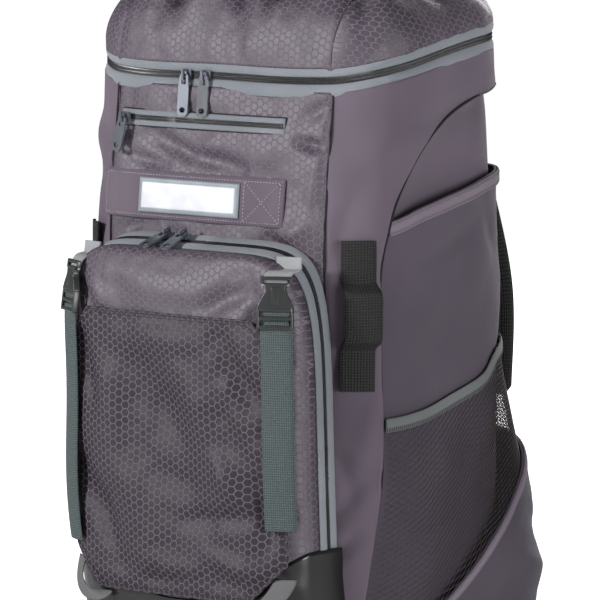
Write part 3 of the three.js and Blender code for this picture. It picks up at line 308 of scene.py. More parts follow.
def tube(name, path, radius, slot, material=None, closed=False, sides=8):
    """A round string laid along a path; without a material it takes the near-black painted seam shade"""
    tangent = np.gradient(path, axis=0)
    if closed:
        tangent = np.roll(path, -1, 0) - np.roll(path, 1, 0)
    side = unit(np.cross(unit(tangent), outwards(path)))
    up = np.cross(side, unit(tangent))
    turn = np.linspace(0, 2 * math.pi, sides, endpoint=False)
    ring = path[:, None] + radius * (np.cos(turn)[None, :, None] * side[:, None]
                                     + np.sin(turn)[None, :, None] * up[:, None])
    count = len(path)
    i, j = np.meshgrid(np.arange(count if closed else count - 1), np.arange(sides), indexing="ij")
    a, b = i * sides + j, i * sides + (j + 1) % sides
    c, d = ((i + 1) % count) * sides + (j + 1) % sides, ((i + 1) % count) * sides + j
    uv = flat(lengths(path)[:, None], turn[None] * radius)
    faces = np.stack([a, b, c, d], -1).reshape(-1, 4).tolist()
    return link(name, mesh_of(name, ring, faces, uv), material or SHADOW, slot)


def polyline(corners, counts):
    """The two coordinates of a line through corners, with a count of points on each of its stretches"""
    corners = np.array(corners, float)
    return np.concatenate([np.linspace(*ends) for ends in zip(corners, corners[1:], counts)]).T


def resample(path, pitch):
    along = lengths(path)
    count = max(int(round(along[-1] / pitch)), 1)
    at = (np.arange(count) + 0.5) * along[-1] / count
    return np.stack([np.interp(at, along, path[:, k]) for k in range(3)], -1)


STITCH = [(-0.5, 0, -0.1), (-0.28, -0.5, 0), (0.28, -0.5, 0), (0.5, 0, -0.1), (0.28, 0.5, 0), (-0.28, 0.5, 0),
          (-0.22, 0, 1), (0.22, 0, 1)]
STITCH_FACES = [(0, 1, 6), (1, 2, 7, 6), (2, 3, 7), (3, 4, 7), (4, 5, 6, 7), (5, 0, 6), (0, 5, 4, 3, 2, 1)]


def stitches(name, paths, slot, pitch=3.0, length=2.1, width=0.75, height=0.45, material=None):
    """Rows of sewn stitches: each is a small rounded dash that follows its path"""
    points, faces = [], []
    for path in paths:
        centres = resample(path, pitch)
        ahead = unit(np.gradient(centres, axis=0))
        out = outwards(centres)
        side = unit(np.cross(ahead, out))
        up = np.cross(side, ahead)
        up *= np.sign((up * out).sum(1))[:, None]
        for centre, a, s, n in zip(centres, ahead, side, up):
            faces.extend(tuple(len(points) + k for k in face) for face in STITCH_FACES)
            points.extend(centre + a * length * x + s * width * y + n * height * z for x, y, z in STITCH)
    return link(name, mesh_of(name, points, faces), material or DARK_THREAD, slot)


def mirrored(line):
    return [line, line * MIRROR]


# ---- Materials
def srgb(red, green, blue):
    values = [c / 255 for c in (red, green, blue)]
    return tuple(c / 12.92 if c <= 0.04045 else ((c + 0.055) / 1.055) ** 2.4 for c in values) + (1.0,)


class Shade:
    """A node tree with short ways to add nodes to it"""
    def __init__(self, name):
        self.material = bpy.data.materials.new(name)
        self.material.use_nodes = True
        self.tree = self.material.node_tree
        self.surface = self.tree.nodes["Principled BSDF"]

    def node(self, kind, inputs=(), **settings):
        made = self.tree.nodes.new(kind)
        for key, value in settings.items():
            setattr(made, key, value)
        for key, value in dict(inputs).items():
            self.feed(made.inputs[key], value)
        return made

    def feed(self, socket, value):
        if isinstance(value, bpy.types.NodeSocket):
            self.tree.links.new(value, socket)
        else:
            socket.default_value = value

    def math(self, operation, *values):
        return self.node("ShaderNodeMath", enumerate(values), operation=operation).outputs[0]

    def vector(self, operation, *values, out=0):
        return self.node("ShaderNodeVectorMath", enumerate(values), operation=operation).outputs[out]

    def mix(self, share, a, b):
        return self.node("ShaderNodeMix", {0: share, 6: a, 7: b}, data_type="RGBA").outputs[2]

    def step(self, value, low, high):
        """0 at the low value and 1 at the high one"""
        return self.node("ShaderNodeMapRange", {0: value, 1: low, 2: high}, interpolation_type="SMOOTHSTEP").outputs[0]

    def blotch(self, scale, detail=2.0):
        """Noise over the object's own coordinates, in units of 1/scale metre"""
        where = self.node("ShaderNodeTexCoord").outputs["Object"]
        made = self.node("ShaderNodeTexNoise", {"Vector": where, "Scale": scale, "Detail": detail})
        return made.outputs["Fac"]

    def bump(self, height, strength, distance, crinkle=0.0):
        made = self.node("ShaderNodeBump", {"Height": height, "Strength": strength, "Distance": distance})
        if crinkle:
            soft = self.math("ADD", self.blotch(17.0, 1.0), self.math("MULTIPLY", self.blotch(60.0, 1.0), 0.2))
            under = self.node("ShaderNodeBump", {"Height": soft, "Strength": crinkle, "Distance": 0.014})
            self.feed(made.inputs["Normal"], under.outputs[0])
        self.feed(self.surface.inputs["Normal"], made.outputs[0])

    def finish(self, color, roughness, **more):
        self.feed(self.surface.inputs["Base Color"], color)
        self.feed(self.surface.inputs["Roughness"], roughness)
        names = {"specular": "Specular IOR Level", "sheen": "Sheen Weight", "metal": "Metallic"}
        for key, value in more.items():
            self.feed(self.surface.inputs[names[key]], value)
        return self.material


def uv_waves(shade, across, up):
    """Two sets of waves over the UV, with their pitch in millimetres"""
    uv = shade.node("ShaderNodeUVMap", uv_map="UVMap").outputs[0]
    apart = shade.node("ShaderNodeSeparateXYZ", {0: uv})
    waves = []
    for output, pitch in ((apart.outputs[0], across), (apart.outputs[1], up)):
        waves.append(shade.math("SINE", shade.math("MULTIPLY", output, 2 * math.pi / pitch)))
    return waves


HEX_PITCH = 6.1
HEX_HALF = (math.sqrt(3) / 2, 0.5, 1)
HEX_LOW = tuple(-c for c in HEX_HALF)


def tinted(colour, share):
    return tuple(min(c * share, 1) for c in colour[:3]) + (1.0,)


def hex_cloth(name, cell, line, glint):
    """Shiny hexagons with dull lines between: each place takes the nearer of two grids of cell centres"""
    shade = Shade(name)
    uv = shade.node("ShaderNodeUVMap", uv_map="UVMap").outputs[0]
    place = shade.vector("MULTIPLY", uv, (1 / HEX_PITCH, 1 / HEX_PITCH, 0))
    first = shade.vector("WRAP", place, HEX_HALF, HEX_LOW)
    second = shade.vector("WRAP", shade.vector("SUBTRACT", place, HEX_HALF), HEX_HALF, HEX_LOW)
    first, second = (shade.vector("MULTIPLY", v, (1, 1, 0)) for v in (first, second))
    nearer = shade.math("LESS_THAN", *(shade.vector("LENGTH", v, out=1) for v in (first, second)))
    chosen = shade.node("ShaderNodeMix", {0: nearer, 4: second, 5: first}, data_type="VECTOR")
    apart = shade.node("ShaderNodeSeparateXYZ", {0: shade.vector("ABSOLUTE", chosen.outputs[1])})
    x, y = apart.outputs[0], apart.outputs[1]
    slanted = shade.math("ADD", shade.math("MULTIPLY", x, math.sqrt(3) / 2), shade.math("MULTIPLY", y, 0.5))
    edge = shade.math("SUBTRACT", 0.5, shade.math("MAXIMUM", y, slanted))
    inside = shade.step(edge, 0.045, 0.1)
    threads = shade.math("MULTIPLY", *uv_waves(shade, 0.9, 0.9))
    tone = shade.step(shade.blotch(9.0), 0.3, 0.7)
    colour = shade.mix(inside, line, shade.mix(tone, tinted(cell, 0.86), cell))
    shade.bump(shade.math("ADD", inside, shade.math("MULTIPLY", threads, 0.12)), 0.6, 0.0005, 0.6)
    rough = shade.math("ADD", 0.85, shade.math("MULTIPLY", inside, -0.34))
    shine = shade.math("ADD", 0.05, shade.math("MULTIPLY", inside, glint))
    return shade.finish(colour, rough, specular=shine)


def woven(name, dark, light, pitch=1.1, rough=0.8, sheen=0.12, stretch=1.0, crinkle=0.0):
    shade = Shade(name)
    weave = shade.math("MULTIPLY", *uv_waves(shade, pitch, pitch * stretch))
    tone = shade.step(shade.math("ADD", shade.blotch(7.0), shade.math("MULTIPLY", weave, 0.1)), 0.3, 0.7)
    shade.bump(weave, 0.5, 0.0003, crinkle)
    return shade.finish(shade.mix(tone, dark, light), rough, sheen=sheen, specular=0.25)


def ribbed(name, dark, light, across=1.7, along=1.9, bump=0.8):
    """Webbing: rows of ribs crossed by their threads"""
    shade = Shade(name)
    height = shade.math("ADD", *(shade.math("MULTIPLY", wave, 0.5) for wave in uv_waves(shade, across, along)))
    tone = shade.step(height, -0.7, 0.7)
    shade.bump(height, bump, 0.0005)
    return shade.finish(shade.mix(tone, dark, light), 0.75, specular=0.3)


def coated(name, colour, rough):
    shade = Shade(name)
    tone = shade.step(shade.blotch(25.0), 0.35, 0.65)
    shade.bump(shade.blotch(900.0, 1.0), 0.15, 0.0003)
    return shade.finish(shade.mix(tone, colour, tinted(colour, 1.5)), rough, specular=0.6)


def moulded(name, colour, rough, metal=0.0, grain=1500.0):
    shade = Shade(name)
    shade.bump(shade.blotch(grain, 1.0), 0.12, 0.0002)
    tone = shade.step(shade.blotch(60.0), 0.3, 0.7)
    return shade.finish(shade.mix(tone, colour, tinted(colour, 1.18)), rough, metal=metal, specular=0.5)


HEX = hex_cloth("hex cloth", srgb(70, 61, 73), srgb(108, 99, 110), glint=0.75)
# painted shade: a darker copy of the hex cloth makes the flap and its piping look shaded
HEX_SHADED = hex_cloth("hex cloth shaded for the flap", srgb(42, 36, 45), srgb(98, 91, 100), glint=0.3)
PLAIN = woven("plain cloth", srgb(92, 82, 94), srgb(103, 93, 105), crinkle=0.12)
SLEEVE = woven("sleeve cloth", srgb(74, 67, 78), srgb(85, 77, 89), crinkle=0.15)
EDGE = woven("cloth edging", srgb(106, 96, 108), srgb(122, 112, 124), pitch=1.4)
TAPE = woven("zip tape", srgb(112, 117, 124), srgb(132, 136, 143), pitch=0.9, stretch=2.0, sheen=0.2)
BINDING = woven("grey binding", srgb(96, 99, 100), srgb(112, 115, 116), pitch=1.2, stretch=2.0)
BOOT = coated("boot", srgb(20, 21, 20), rough=0.26)
TEETH = moulded("zip teeth", srgb(40, 40, 42), rough=0.3)
METAL = moulded("zip metal", srgb(120, 124, 132), rough=0.32, metal=0.9)
CHROME = moulded("bright metal", srgb(205, 208, 214), rough=0.16, metal=1.0)
STRAP = ribbed("strap webbing", srgb(58, 68, 69), srgb(88, 98, 99))
PALE = ribbed("pale webbing", srgb(140, 141, 144), srgb(156, 157, 160), across=1.0, along=1.0, bump=0.3)
LOOP = ribbed("loop webbing", srgb(90, 90, 92), srgb(108, 108, 110), across=1.0, along=1.0, bump=0.3)
BLACK = ribbed("black webbing", srgb(22, 22, 22), srgb(44, 45, 44), across=2.4, along=2.2)
PLASTIC = moulded("buckle plastic", srgb(44, 46, 46), rough=0.33)
NET = woven("net", srgb(46, 40, 43), srgb(60, 53, 56), pitch=0.8, rough=0.55)
AIR_MESH = ribbed("air mesh", srgb(22, 22, 22), srgb(44, 44, 43), across=3.2, along=3.2, bump=1.0)
THREAD = moulded("thread", srgb(158, 148, 160), rough=0.8)
DARK_THREAD = moulded("dark thread", srgb(56, 50, 58), rough=0.85)
# painted shade: a near-black colour for cords laid along seams and edges where shade falls
SHADOW = moulded("seam shadow", srgb(24, 21, 26), rough=0.95)

# ---- Body panels
FRONT_FOLDS = [
    (-66, 392, -30, 378, 8, -6), (-30, 378, 30, 369, 7, -5.5), (-30, 378, 10, 388, 9, 2.5), (20, 374, 70, 392, 14, 3),
    (-90, 374, -50, 367, 5, -3), (84, 392, 104, 389, 5, -5), (60, 316, 84, 304, 6, -5), (78, 320, 100, 330, 9, 3),
    (96, 340, 108, 400, 6, 1.8), (-96, 316, -60, 322, 6, -2.5), (-40, 424, 20, 420, 9, 2), (88, 410, 106, 420, 6, -2.5),
]


def front_out(x, z):
    seam = 1 - smooth(FRONT_WIDTH / 2 - np.abs(x), 0, 4)
    return 1.35 * creases(x, z, FRONT_FOLDS) + 2.0 * rumple(x, z, 52, 2) - 1.3 * seam


u, v = grid(150, 190)
x = (u - 0.5) * (FRONT_WIDTH - 0.6)
z = lerp(PANEL_BOTTOM, body_top(FRONT_SEAM), v)
cloth("front_cloth", front_point(x, z, front_out(x, z)), HEX, "hex_cloth", "front_panel", rim=True,
      uv=flat(x, z), on="side_panel_right")


def recess_angle(height):
    return read(RECESS_SEAM, 1, np.asarray(height) / RECESS_TOP)


def side_place(u, v):
    front_height = lerp(PANEL_BOTTOM, body_top(FRONT_SEAM), v)
    rear_height = lerp(PANEL_BOTTOM, body_top(BACK_SEAM), v ** 0.6)
    start = front_angle(FRONT_WIDTH / 2 + 0.2, front_height)
    end = np.minimum(recess_angle(rear_height), back_angle(BACK_WIDTH / 2, rear_height))
    angle = between(start, end, u)
    straight = lerp(front_height, rear_height, u)
    at_top = lerp(body_top(FRONT_SEAM), body_top(BACK_SEAM), u)
    height = straight + (body_top(between(start, BACK_SEAM, u)) - at_top) * v ** 6
    return angle, height


SIDE_FOLDS = [
    (-42, 300, -36, 350, 8, -3.5), (-41, 208, -33, 250, 7, -4.5), (-43, 90, -33, 130, 8, -3.5),
    (-43, 60, -36, 84, 6, -3.5), (-20, 400, -40, 372, 14, 3), (-34, 150, -30, 190, 9, 2.6),
    (-40, 150, -36, 120, 7, -3), (10, 425, -12, 405, 10, -2.5), (-38, 390, -28, 340, 14, -2.5),
]
u, v = grid(96, 200)
angle, height = side_place(u, v)
edge = 1 - smooth(u * 60, 0, 4)
roll = 1 - smooth((1 - u) * 60, 0, 5)
out = 1.3 * rumple(angle * 2.4, height, 60, 5) - 1.3 * edge - 0.6 * roll
out = out + creases(angle * PER_DEGREE, height,
                    [(a * PER_DEGREE, b, c * PER_DEGREE, *rest) for a, b, c, *rest in SIDE_FOLDS])
both("side_cloth_#", body_point(angle, height, out), PLAIN, "plain_cloth", node="side_panel_#", rim=True,
     on="front_panel")

# painted shade: a near-black cord just inside each recess seam's edge stands for the dark line of shade there
line = body_point(angle[-1], height[-1], -1.6)
for side, sign in SIDES:
    tube(f"recess_seam_shadow_{side}", line * (sign, 1, 1), 1.1, "plain_cloth")
line = body_point(angle[-1] - 1.3, height[-1], out[-1] + 0.3)
stitches("recess_seam_shadow_stitches", mirrored(line), "plain_cloth", length=1.5, width=0.4, height=0.25)

u, v = grid(90, 150)
x = (u - 0.5) * (BACK_WIDTH - 0.8)
z = lerp(PANEL_BOTTOM, lid_bottom(back_angle(BACK_WIDTH / 2, ZIP_HEIGHT)) - GAP, v)
cloth("back_cloth", back_point(x, z, 0.4 * rumple(x, z, 60, 9)), PLAIN, "plain_cloth", "back_panel", rim=True,
      on="base")

# ---- Base
BASE_PROFILE = [(14, 0), (11, 0.2), (8, 0.8), (5, 2.2), (3, 4.2), (1.4, 7), (0.4, 10), (0, 13), (0, 30), (0, 60)]
angle = np.linspace(-180, 180, 220, endpoint=False)[:, None]
height, inset = np.array(BASE_PROFILE).T[:, None]
points = body_point(angle, height, -inset)
points[:, -1, :2] *= 0.02
cloth("base_skin", points, BOOT, "boot_skin", "base", around=True, thick=2.0)

# ---- Lid
def lid_height(x, y):
    """The lid's height over a place, and its share of the way in from the rim"""
    angle = np.degrees(np.arctan2(y, x))
    rim = body_point(angle, ZIP_HEIGHT, 0)
    share = clip(np.hypot(x, y) / np.hypot(rim[..., 0], rim[..., 1]))
    climb = np.arccos(share ** (LID_ROUND / 2))
    rise = np.sin(climb) ** (2 / LID_ROUND)
    return lerp(lid_bottom(angle), LID_TOP, rise), rise


LID_FOLDS = [
    (56, -58, 40, -84, 11, -13), (94, -40, 60, -78, 9, -11), (0, -66, 16, -94, 9, -9), (24, -50, 30, -88, 9, 6),
    (-86, -46, -54, -86, 11, -11), (-24, -50, -70, -92, 9, -8), (-10, -60, -34, -92, 9, 6), (74, -50, 52, -90, 8, 5),
    (98, -34, 106, -64, 7, -8), (-90, -10, -102, -60, 9, -7), (70, 10, 30, 40, 22, -7), (-70, 20, -20, 50, 24, -6),
    (-60, -40, -80, -90, 8, 5), (100, -60, 80, -92, 6, 4),
]
SIDE_LID_FOLDS = [
    (131, 0, 118, 20, 14, -10), (118, -44, 142, -70, 8, 4), (126, 40, 146, 60, 10, -5), (112, -60, 126, -80, 6, -5),
]


def lid_point(x, y, folds, seed):
    z, rise = lid_height(x, y)
    angle = np.arctan2(y, x)
    puckers = np.sin(angle * 34 + 2 * noise(x, y, 60, seed)) * smooth(rise, 0, 0.12) * (1 - smooth(rise, 0.1, 0.4))
    lift = 1.25 * creases(x, y, folds) * np.sqrt(clip(rise))
    lift = lift + 2.4 * rumple(x, y, 50, seed) * smooth(rise, 0, 0.22) + 0.8 * puckers
    bulge = 0.55 * lift * (1 - rise)
    return stack(x + np.cos(angle) * bulge, y + np.sin(angle) * bulge, z + lift * clip(rise * 1.6))


half = LID_CENTRE / 2 - 0.2
u, v = grid(170, 190)
x = (u - 0.5) * 2 * half
front, back = reach_at(2, x, ZIP_HEIGHT, 0), reach_at(3, x, ZIP_HEIGHT, 0)
points = lid_point(x, -np.where(v < 0.5, front, back) * np.cos(math.pi * v), LID_FOLDS, 11)
points[..., 2] -= 1.6 * (1 - smooth(half - np.abs(x), 0, 4))
cloth("lid_centre_cloth", points, HEX, "hex_cloth", "lid_centre", rim=True,
      uv=flat(x, lengths(points, 1)), on="top_zip_tape")

u, v = grid(150, 60)
start, end = front_angle(half + 0.4, ZIP_HEIGHT), back_angle(half + 0.4, ZIP_HEIGHT)
angle = between(start, end, u)
rim = body_point(angle, ZIP_HEIGHT, 0)
reach = np.hypot(rim[..., 0], rim[..., 1])
inner = np.minimum((half + 0.4) / rim[..., 0], 1)
share = 1 - (1 - inner) * (1 - np.cos(v * math.pi / 2))
x, y = rim[..., 0] * share, rim[..., 1] * share
points = lid_point(x, y, SIDE_LID_FOLDS, 17)
points[..., 2] -= 1.6 * (1 - smooth(x - half, 0, 4))
both("lid_side_#_cloth", points, HEX, "hex_cloth", node="lid_side_#", rim=True, on="top_zip_tape")


# ---- Zips
def teeth(name, surface, length, node, width=5.2, pitch=1.25, height=1.1):
    """A closed coil zip: two rows of ribs that meet in the middle. surface(along, across, out) gives a point."""
    steps = int(length / pitch * 4)
    along = np.linspace(0, length, steps)[:, None]
    across = np.array([-1, -0.78, -0.5, -0.2, -0.04, 0.04, 0.2, 0.5, 0.78, 1])[None] * width / 2
    phase = 2 * math.pi * along / pitch + np.where(across < 0, math.pi, 0)
    row = 1 - ((np.abs(across) - width * 0.26) / (width * 0.3)) ** 2
    rib = clip(row) * (0.45 + 0.55 * np.sin(phase)) * height
    points = surface(along + 0 * across, across + 0 * along, rib)
    mesh = mesh_of(name, points, quads(steps, across.shape[1]), flat(along, across))
    link(name, mesh, TEETH, "zip_teeth", node)


def tape(name, surface, length, low, high, bulge, node=None):
    """One half of a zip's tape, with a rounded fold along it"""
    u, v = grid(int(length / 4), 14)
    across = lerp(low, high, v)
    out = bulge * arch(v) ** 0.7 + 0.12 * noise(u * length, across, 9, 4)
    points = surface(u * length, across, out)
    cloth(name, points, TAPE, "zip_tape", node, thick=0.9, uv=flat(u * length, across), rim=True,
                 on="front_panel")


def whole_zip(name, surface, length, inner, outer, bulge, halves=("lower", "upper"), cut=0, **ribs):
    """Both halves of a zip's tape and the teeth between them"""
    tape(f"{name}_tape_{halves[0]}", surface, length, -outer, -inner, bulge, f"{name}_tape")
    tape(f"{name}_tape_{halves[1]}", surface, length, inner, outer, bulge)
    teeth(f"{name}_teeth", surface, length - cut, f"{name}_chain", **ribs)


TOP_OUT = -1.6
ZIP_END = back_angle(BACK_WIDTH / 2, ZIP_HEIGHT) - 1
LONG_ANGLE = np.linspace(-270, 90, 1441)
LONG_TURN = lengths(body_point(LONG_ANGLE, 440, 0))
TOP_START, TOP_END = np.interp((-180 - ZIP_END, ZIP_END), LONG_ANGLE, LONG_TURN)


def top_zip(along, across, out):
    angle = np.interp(TOP_START + along, LONG_TURN, LONG_ANGLE)
    return body_point(angle, zip_height(angle) + across, TOP_OUT + out)


whole_zip("top_zip", top_zip, float(TOP_END - TOP_START), 2.7, 13.5, 1.9)

CHEST_LEFT, CHEST_LENGTH, CHEST_Z = -99.5, 171, 404


def chest_zip(along, across, out):
    return front_point(CHEST_LEFT + along, CHEST_Z + across, 1.3 + out)


whole_zip("chest_zip", chest_zip, CHEST_LENGTH, 1.9, 6.2, 0.9, cut=3, width=3.8, pitch=1.1, height=0.9)
# painted shade: a near-black cord round the chest zip's box, along its stitched edges
frame_x, frame_z = polyline([(0, -6.6), (CHEST_LENGTH, -6.6), (CHEST_LENGTH, 6.6), (0, 6.6), (0, -6.6)],
                            (80, 8, 80, 8))
tube("chest_zip_edge_shadow", front_point(CHEST_LEFT + frame_x, CHEST_Z + frame_z, 0.7), 0.55, "hex_cloth")


# ---- Front pocket
def pocket_outline(share, side, top, foot):
    """Up the right side, over the top in a superellipse and down the left side"""
    leg, spread = 0.22, 2 / 7
    near = np.minimum(share, 1 - share)
    turn = clip((share - leg) / (1 - 2 * leg)) * math.pi
    x = np.sign(np.cos(turn)) * np.abs(np.cos(turn)) ** spread * side
    z = POCKET_CENTRE + np.abs(np.sin(turn)) ** spread * (top - POCKET_CENTRE)
    x = np.where(near < leg, np.where(share < 0.5, side, -side), x)
    return x, np.where(near < leg, lerp(foot, POCKET_CENTRE, near / leg), z)


def pocket_wall(share, lift, out):
    foot = BOOT_SIDE + GAP
    inner_x, inner_z = pocket_outline(share, POCKET_WIDTH / 2 + out, POCKET_TOP + out, foot)
    outer_x, outer_z = pocket_outline(share, POCKET_WIDTH / 2 - 4 + out, POCKET_TOP + 8 + out, foot)
    x, z = lerp(outer_x, inner_x, lift), lerp(outer_z, inner_z, lift)
    return stack(x, -reach_at(2, x, z, 0) - LAYER - lift * (POCKET_WALL - LAYER), z)


def pocket_point(x, z):
    across = clip(np.abs(x) / (POCKET_WIDTH / 2))
    up = clip((z - POCKET_CENTRE) / (POCKET_TOP - POCKET_CENTRE))
    edge = clip((across ** 7 + up ** 7) ** (1 / 7))
    crown = POCKET_CROWN * (1 - edge ** 4) ** 0.25
    return stack(x, -reach_at(2, x, z, 0) - POCKET_WALL - LAYER - crown, z)


CROWN_SHARE = np.linspace(0, 1, 2001)


def crown_arc(share, half):
    """The length of cloth over the crown from its middle to a share of the way to its edge"""
    x, y = CROWN_SHARE * half, POCKET_CROWN * (1 - CROWN_SHARE ** 4) ** 0.25
    return np.interp(share, CROWN_SHARE, lengths(np.stack([x, y], -1)))


def crown_uv(x, z):
    tall = POCKET_TOP - POCKET_CENTRE
    across = np.sign(x) * crown_arc(np.abs(x) / (POCKET_WIDTH / 2), POCKET_WIDTH / 2)
    up = POCKET_CENTRE + np.where(z > POCKET_CENTRE, crown_arc((z - POCKET_CENTRE) / tall, tall), z - POCKET_CENTRE)
    return flat(across, up)


WALL_SHARE = np.linspace(0, 1, 1601)
WALL_TURN = lengths(pocket_wall(WALL_SHARE, 0.5, 0.0))


def pocket_zip(along, across, out):
    share = np.interp(along, WALL_TURN, WALL_SHARE)
    return pocket_wall(share, clip(0.5 + across / POCKET_WALL), out)


whole_zip("pocket_zip", pocket_zip, float(WALL_TURN[-1]), 2.6, 13.4, 1.6, ("outer", "inner"))

TOP_CORNER, BOTTOM_CORNER = 24, 31
FLAP_FOLDS = [
    (54, 240, 84, 196, 10, -5.5), (62, 200, 86, 160, 9, 3), (-44, 226, 30, 150, 22, -5.5), (10, 222, 52, 130, 18, 4.5),
    (-76, 170, -20, 84, 17, 4.5), (-94, 130, -50, 62, 13, -5.5), (14, 96, 84, 104, 9, -5), (40, 70, 88, 58, 9, 4),
    (-36, 66, 20, 56, 13, 3.5), (84, 130, 98, 86, 8, -4.5), (-94, 236, -78, 180, 10, -4.5), (20, 238, -50, 236, 10, 3),
    (-66, 216, -50, 160, 13, 3.5), (-10, 130, 34, 120, 14, -4), (50, 146, 72, 118, 10, 3.5), (-20, 46, 30, 50, 7, -3),
]


def flap_half(z):
    cut = np.maximum(np.maximum(TOP_CORNER - (FLAP_TOP - z), BOTTOM_CORNER - (z - FLAP_BOTTOM)), 0)
    return FLAP_WIDTH / 2 - cut


def flap_dents(x, z):
    """How far the flap and the cloth under it stand out or in, nothing at the flap's edge"""
    edge = np.minimum(flap_half(z) - np.abs(x), np.minimum(FLAP_TOP - z, z - FLAP_BOTTOM))
    return smooth(edge, 0, 14) * (1.3 * creases(x, z, FLAP_FOLDS) + 2.8 * rumple(x, z, 56, 41))


def boot_top(x):
    return lerp(BOOT_MIDDLE, BOOT_SIDE, (np.abs(x) / (POCKET_WIDTH / 2)) ** 2)


POCKET_FOLDS = [
    (30, 262, 78, 280, 9, -7), (86, 262, 112, 248, 7, -7), (62, 292, 92, 300, 9, -4), (-108, 292, -86, 266, 7, -6),
    (-90, 276, -60, 262, 8, 3), (100, 236, 114, 226, 7, -6), (98, 196, 114, 188, 7, -6), (100, 150, 115, 138, 8, -6),
    (99, 110, 114, 102, 7, -5), (-20, 285, 30, 275, 18, 4), (-60, 292, -20, 280, 16, 3), (-6, 302, -2, 282, 5, -2.6),
    (14, 304, 15, 284, 4, -2.4), (104, 214, 114, 208, 5, 3), (102, 172, 114, 164, 6, 3.5), (102, 128, 114, 120, 6, 3),
    (92, 284, 112, 270, 6, 3.5), (-114, 298, -106, 240, 7, -8),
]
half = POCKET_WIDTH / 2
bottom = 0.3
u, v = np.meshgrid(np.linspace(0, 1, 320, endpoint=False), np.linspace(0, 1, 76) ** 1.5, indexing="ij")
bottom_x = lerp(-half, half, clip(u / bottom))
rim_x, rim_z = pocket_outline(clip((u - bottom) / (1 - bottom)), half, POCKET_TOP, boot_top(half) + LAYER)
rim_x, rim_z = np.where(u < bottom, bottom_x, rim_x), np.where(u < bottom, boot_top(bottom_x) + LAYER, rim_z)
x = lerp(rim_x, 0, v)
z = lerp(rim_z, (POCKET_TOP + BOOT_MIDDLE) / 2, v)
points = pocket_point(x, z)
points[..., 1] -= smooth(v, 0, 0.16) * (creases(x, z, POCKET_FOLDS) + 2.2 * rumple(x, z, 50, 21) + flap_dents(x, z))
cloth("pocket_cloth", points, HEX, "hex_cloth", "pocket_front", around=True, rim=True, uv=crown_uv(x, z),
      on="pocket_zip_tape")

BOOT_FOLDS = [(70, 60, 92, 44, 6, -3.5), (86, 70, 112, 48, 6, 2.5), (60, 40, 84, 22, 7, -3), (96, 40, 110, 20, 6, -3)]
UNDER_SHARE = 0.4
u, v = grid(150, 34)
place = (u * 22 - 1) / 20
on_body = 1 - smooth(place, -0.05, 0.0) + smooth(place, 1.0, 1.05)
across = np.cos(clip(place) * math.pi)
x = across * POCKET_WIDTH / 2
crown = POCKET_CROWN * (1 - np.abs(across) ** 4) ** 0.25 * (1 - on_body)
z = lerp(BOOT_FLOOR + BOOT_ROUND, boot_top(x), clip((v - UNDER_SHARE) / (1 - UNDER_SHARE)))
body = reach_at(2, x, z, 0) + LAYER
reach = body + (POCKET_WALL + crown) * (1 - on_body)
under = clip(v / UNDER_SHARE) * math.pi / 2
y = -np.where(v < UNDER_SHARE, lerp(body, reach, np.sin(under)), reach)
z = np.where(v < UNDER_SHARE, BOOT_FLOOR + BOOT_ROUND * (1 - np.cos(under)), z)
rough = 1.4 * rumple(x, z, 26, 31) * arch(np.clip(v, 0.02, 0.98)) + creases(x, z, BOOT_FOLDS)
y = y - rough * (1 - on_body) * 0.8
cloth("boot_cloth", stack(x, y, z), BOOT, "boot_skin", "pocket_boot", on="base", rim=True)

# ---- Flap
def flap_lift(z):
    share = (z - FLAP_BOTTOM) / (FLAP_TOP - FLAP_BOTTOM)
    return 1.7 * LAYER + 2 * (1 - share) ** 2


def flap_point(x, z, out):
    point = pocket_point(x, z)
    point[..., 1] -= flap_lift(z) + 1.6 + flap_dents(x, z) + out
    return point


u, v = grid(150, 160)
z = lerp(FLAP_BOTTOM, FLAP_TOP, v)
x = (2 * u - 1) * flap_half(z)
cloth("flap_cloth", flap_point(x, z, 0.8), HEX_SHADED, "hex_cloth", "flap", thick=2.0, uv=crown_uv(x, z),
      held="laid", on="pocket_front")
half, stitch_inset = FLAP_WIDTH / 2, 3.2
flap_x, flap_z = polyline([(0, FLAP_TOP), (half - TOP_CORNER, FLAP_TOP), (half, FLAP_TOP - TOP_CORNER),
                           (half, FLAP_BOTTOM + BOTTOM_CORNER), (half - BOTTOM_CORNER, FLAP_BOTTOM),
                           (0, FLAP_BOTTOM)], (60, 20, 90, 20, 60))
flap_x, flap_z = np.concatenate([flap_x, -flap_x[::-1]]), np.concatenate([flap_z, flap_z[::-1]])
tube("flap_piping", flap_point(flap_x, flap_z, 0.4), 1.3, "hex_cloth", HEX_SHADED, closed=True)
inner_z = lerp((FLAP_TOP + FLAP_BOTTOM) // 2, flap_z, 1 - stitch_inset / 110)
stitches("flap_stitches", [flap_point(flap_x * (1 - stitch_inset / half), inner_z, 1.0)], "hex_cloth")

# ---- Straps and buckles
STRAP_PLACE, STRAP_TOP = 103, 258
UPPER_BOTTOM, UPPER_TOP = 285, 306.5
BUCKLE_MIDDLE, BUCKLE_LENGTH, BUCKLE_OUT = 271.5, 41, 5.4


def pocket_frame(x, z, length=WEBBING):
    """The directions across, up and out of the pocket's front at a place"""
    half = WEBBING / 6
    across = unit(pocket_point(x + half, z) - pocket_point(x - half, z))
    up = pocket_point(x, z + length / 2) - pocket_point(x, z - length / 2)
    up = unit(up - across * (up * across).sum(-1, keepdims=True))
    return across, up, np.cross(across, up)


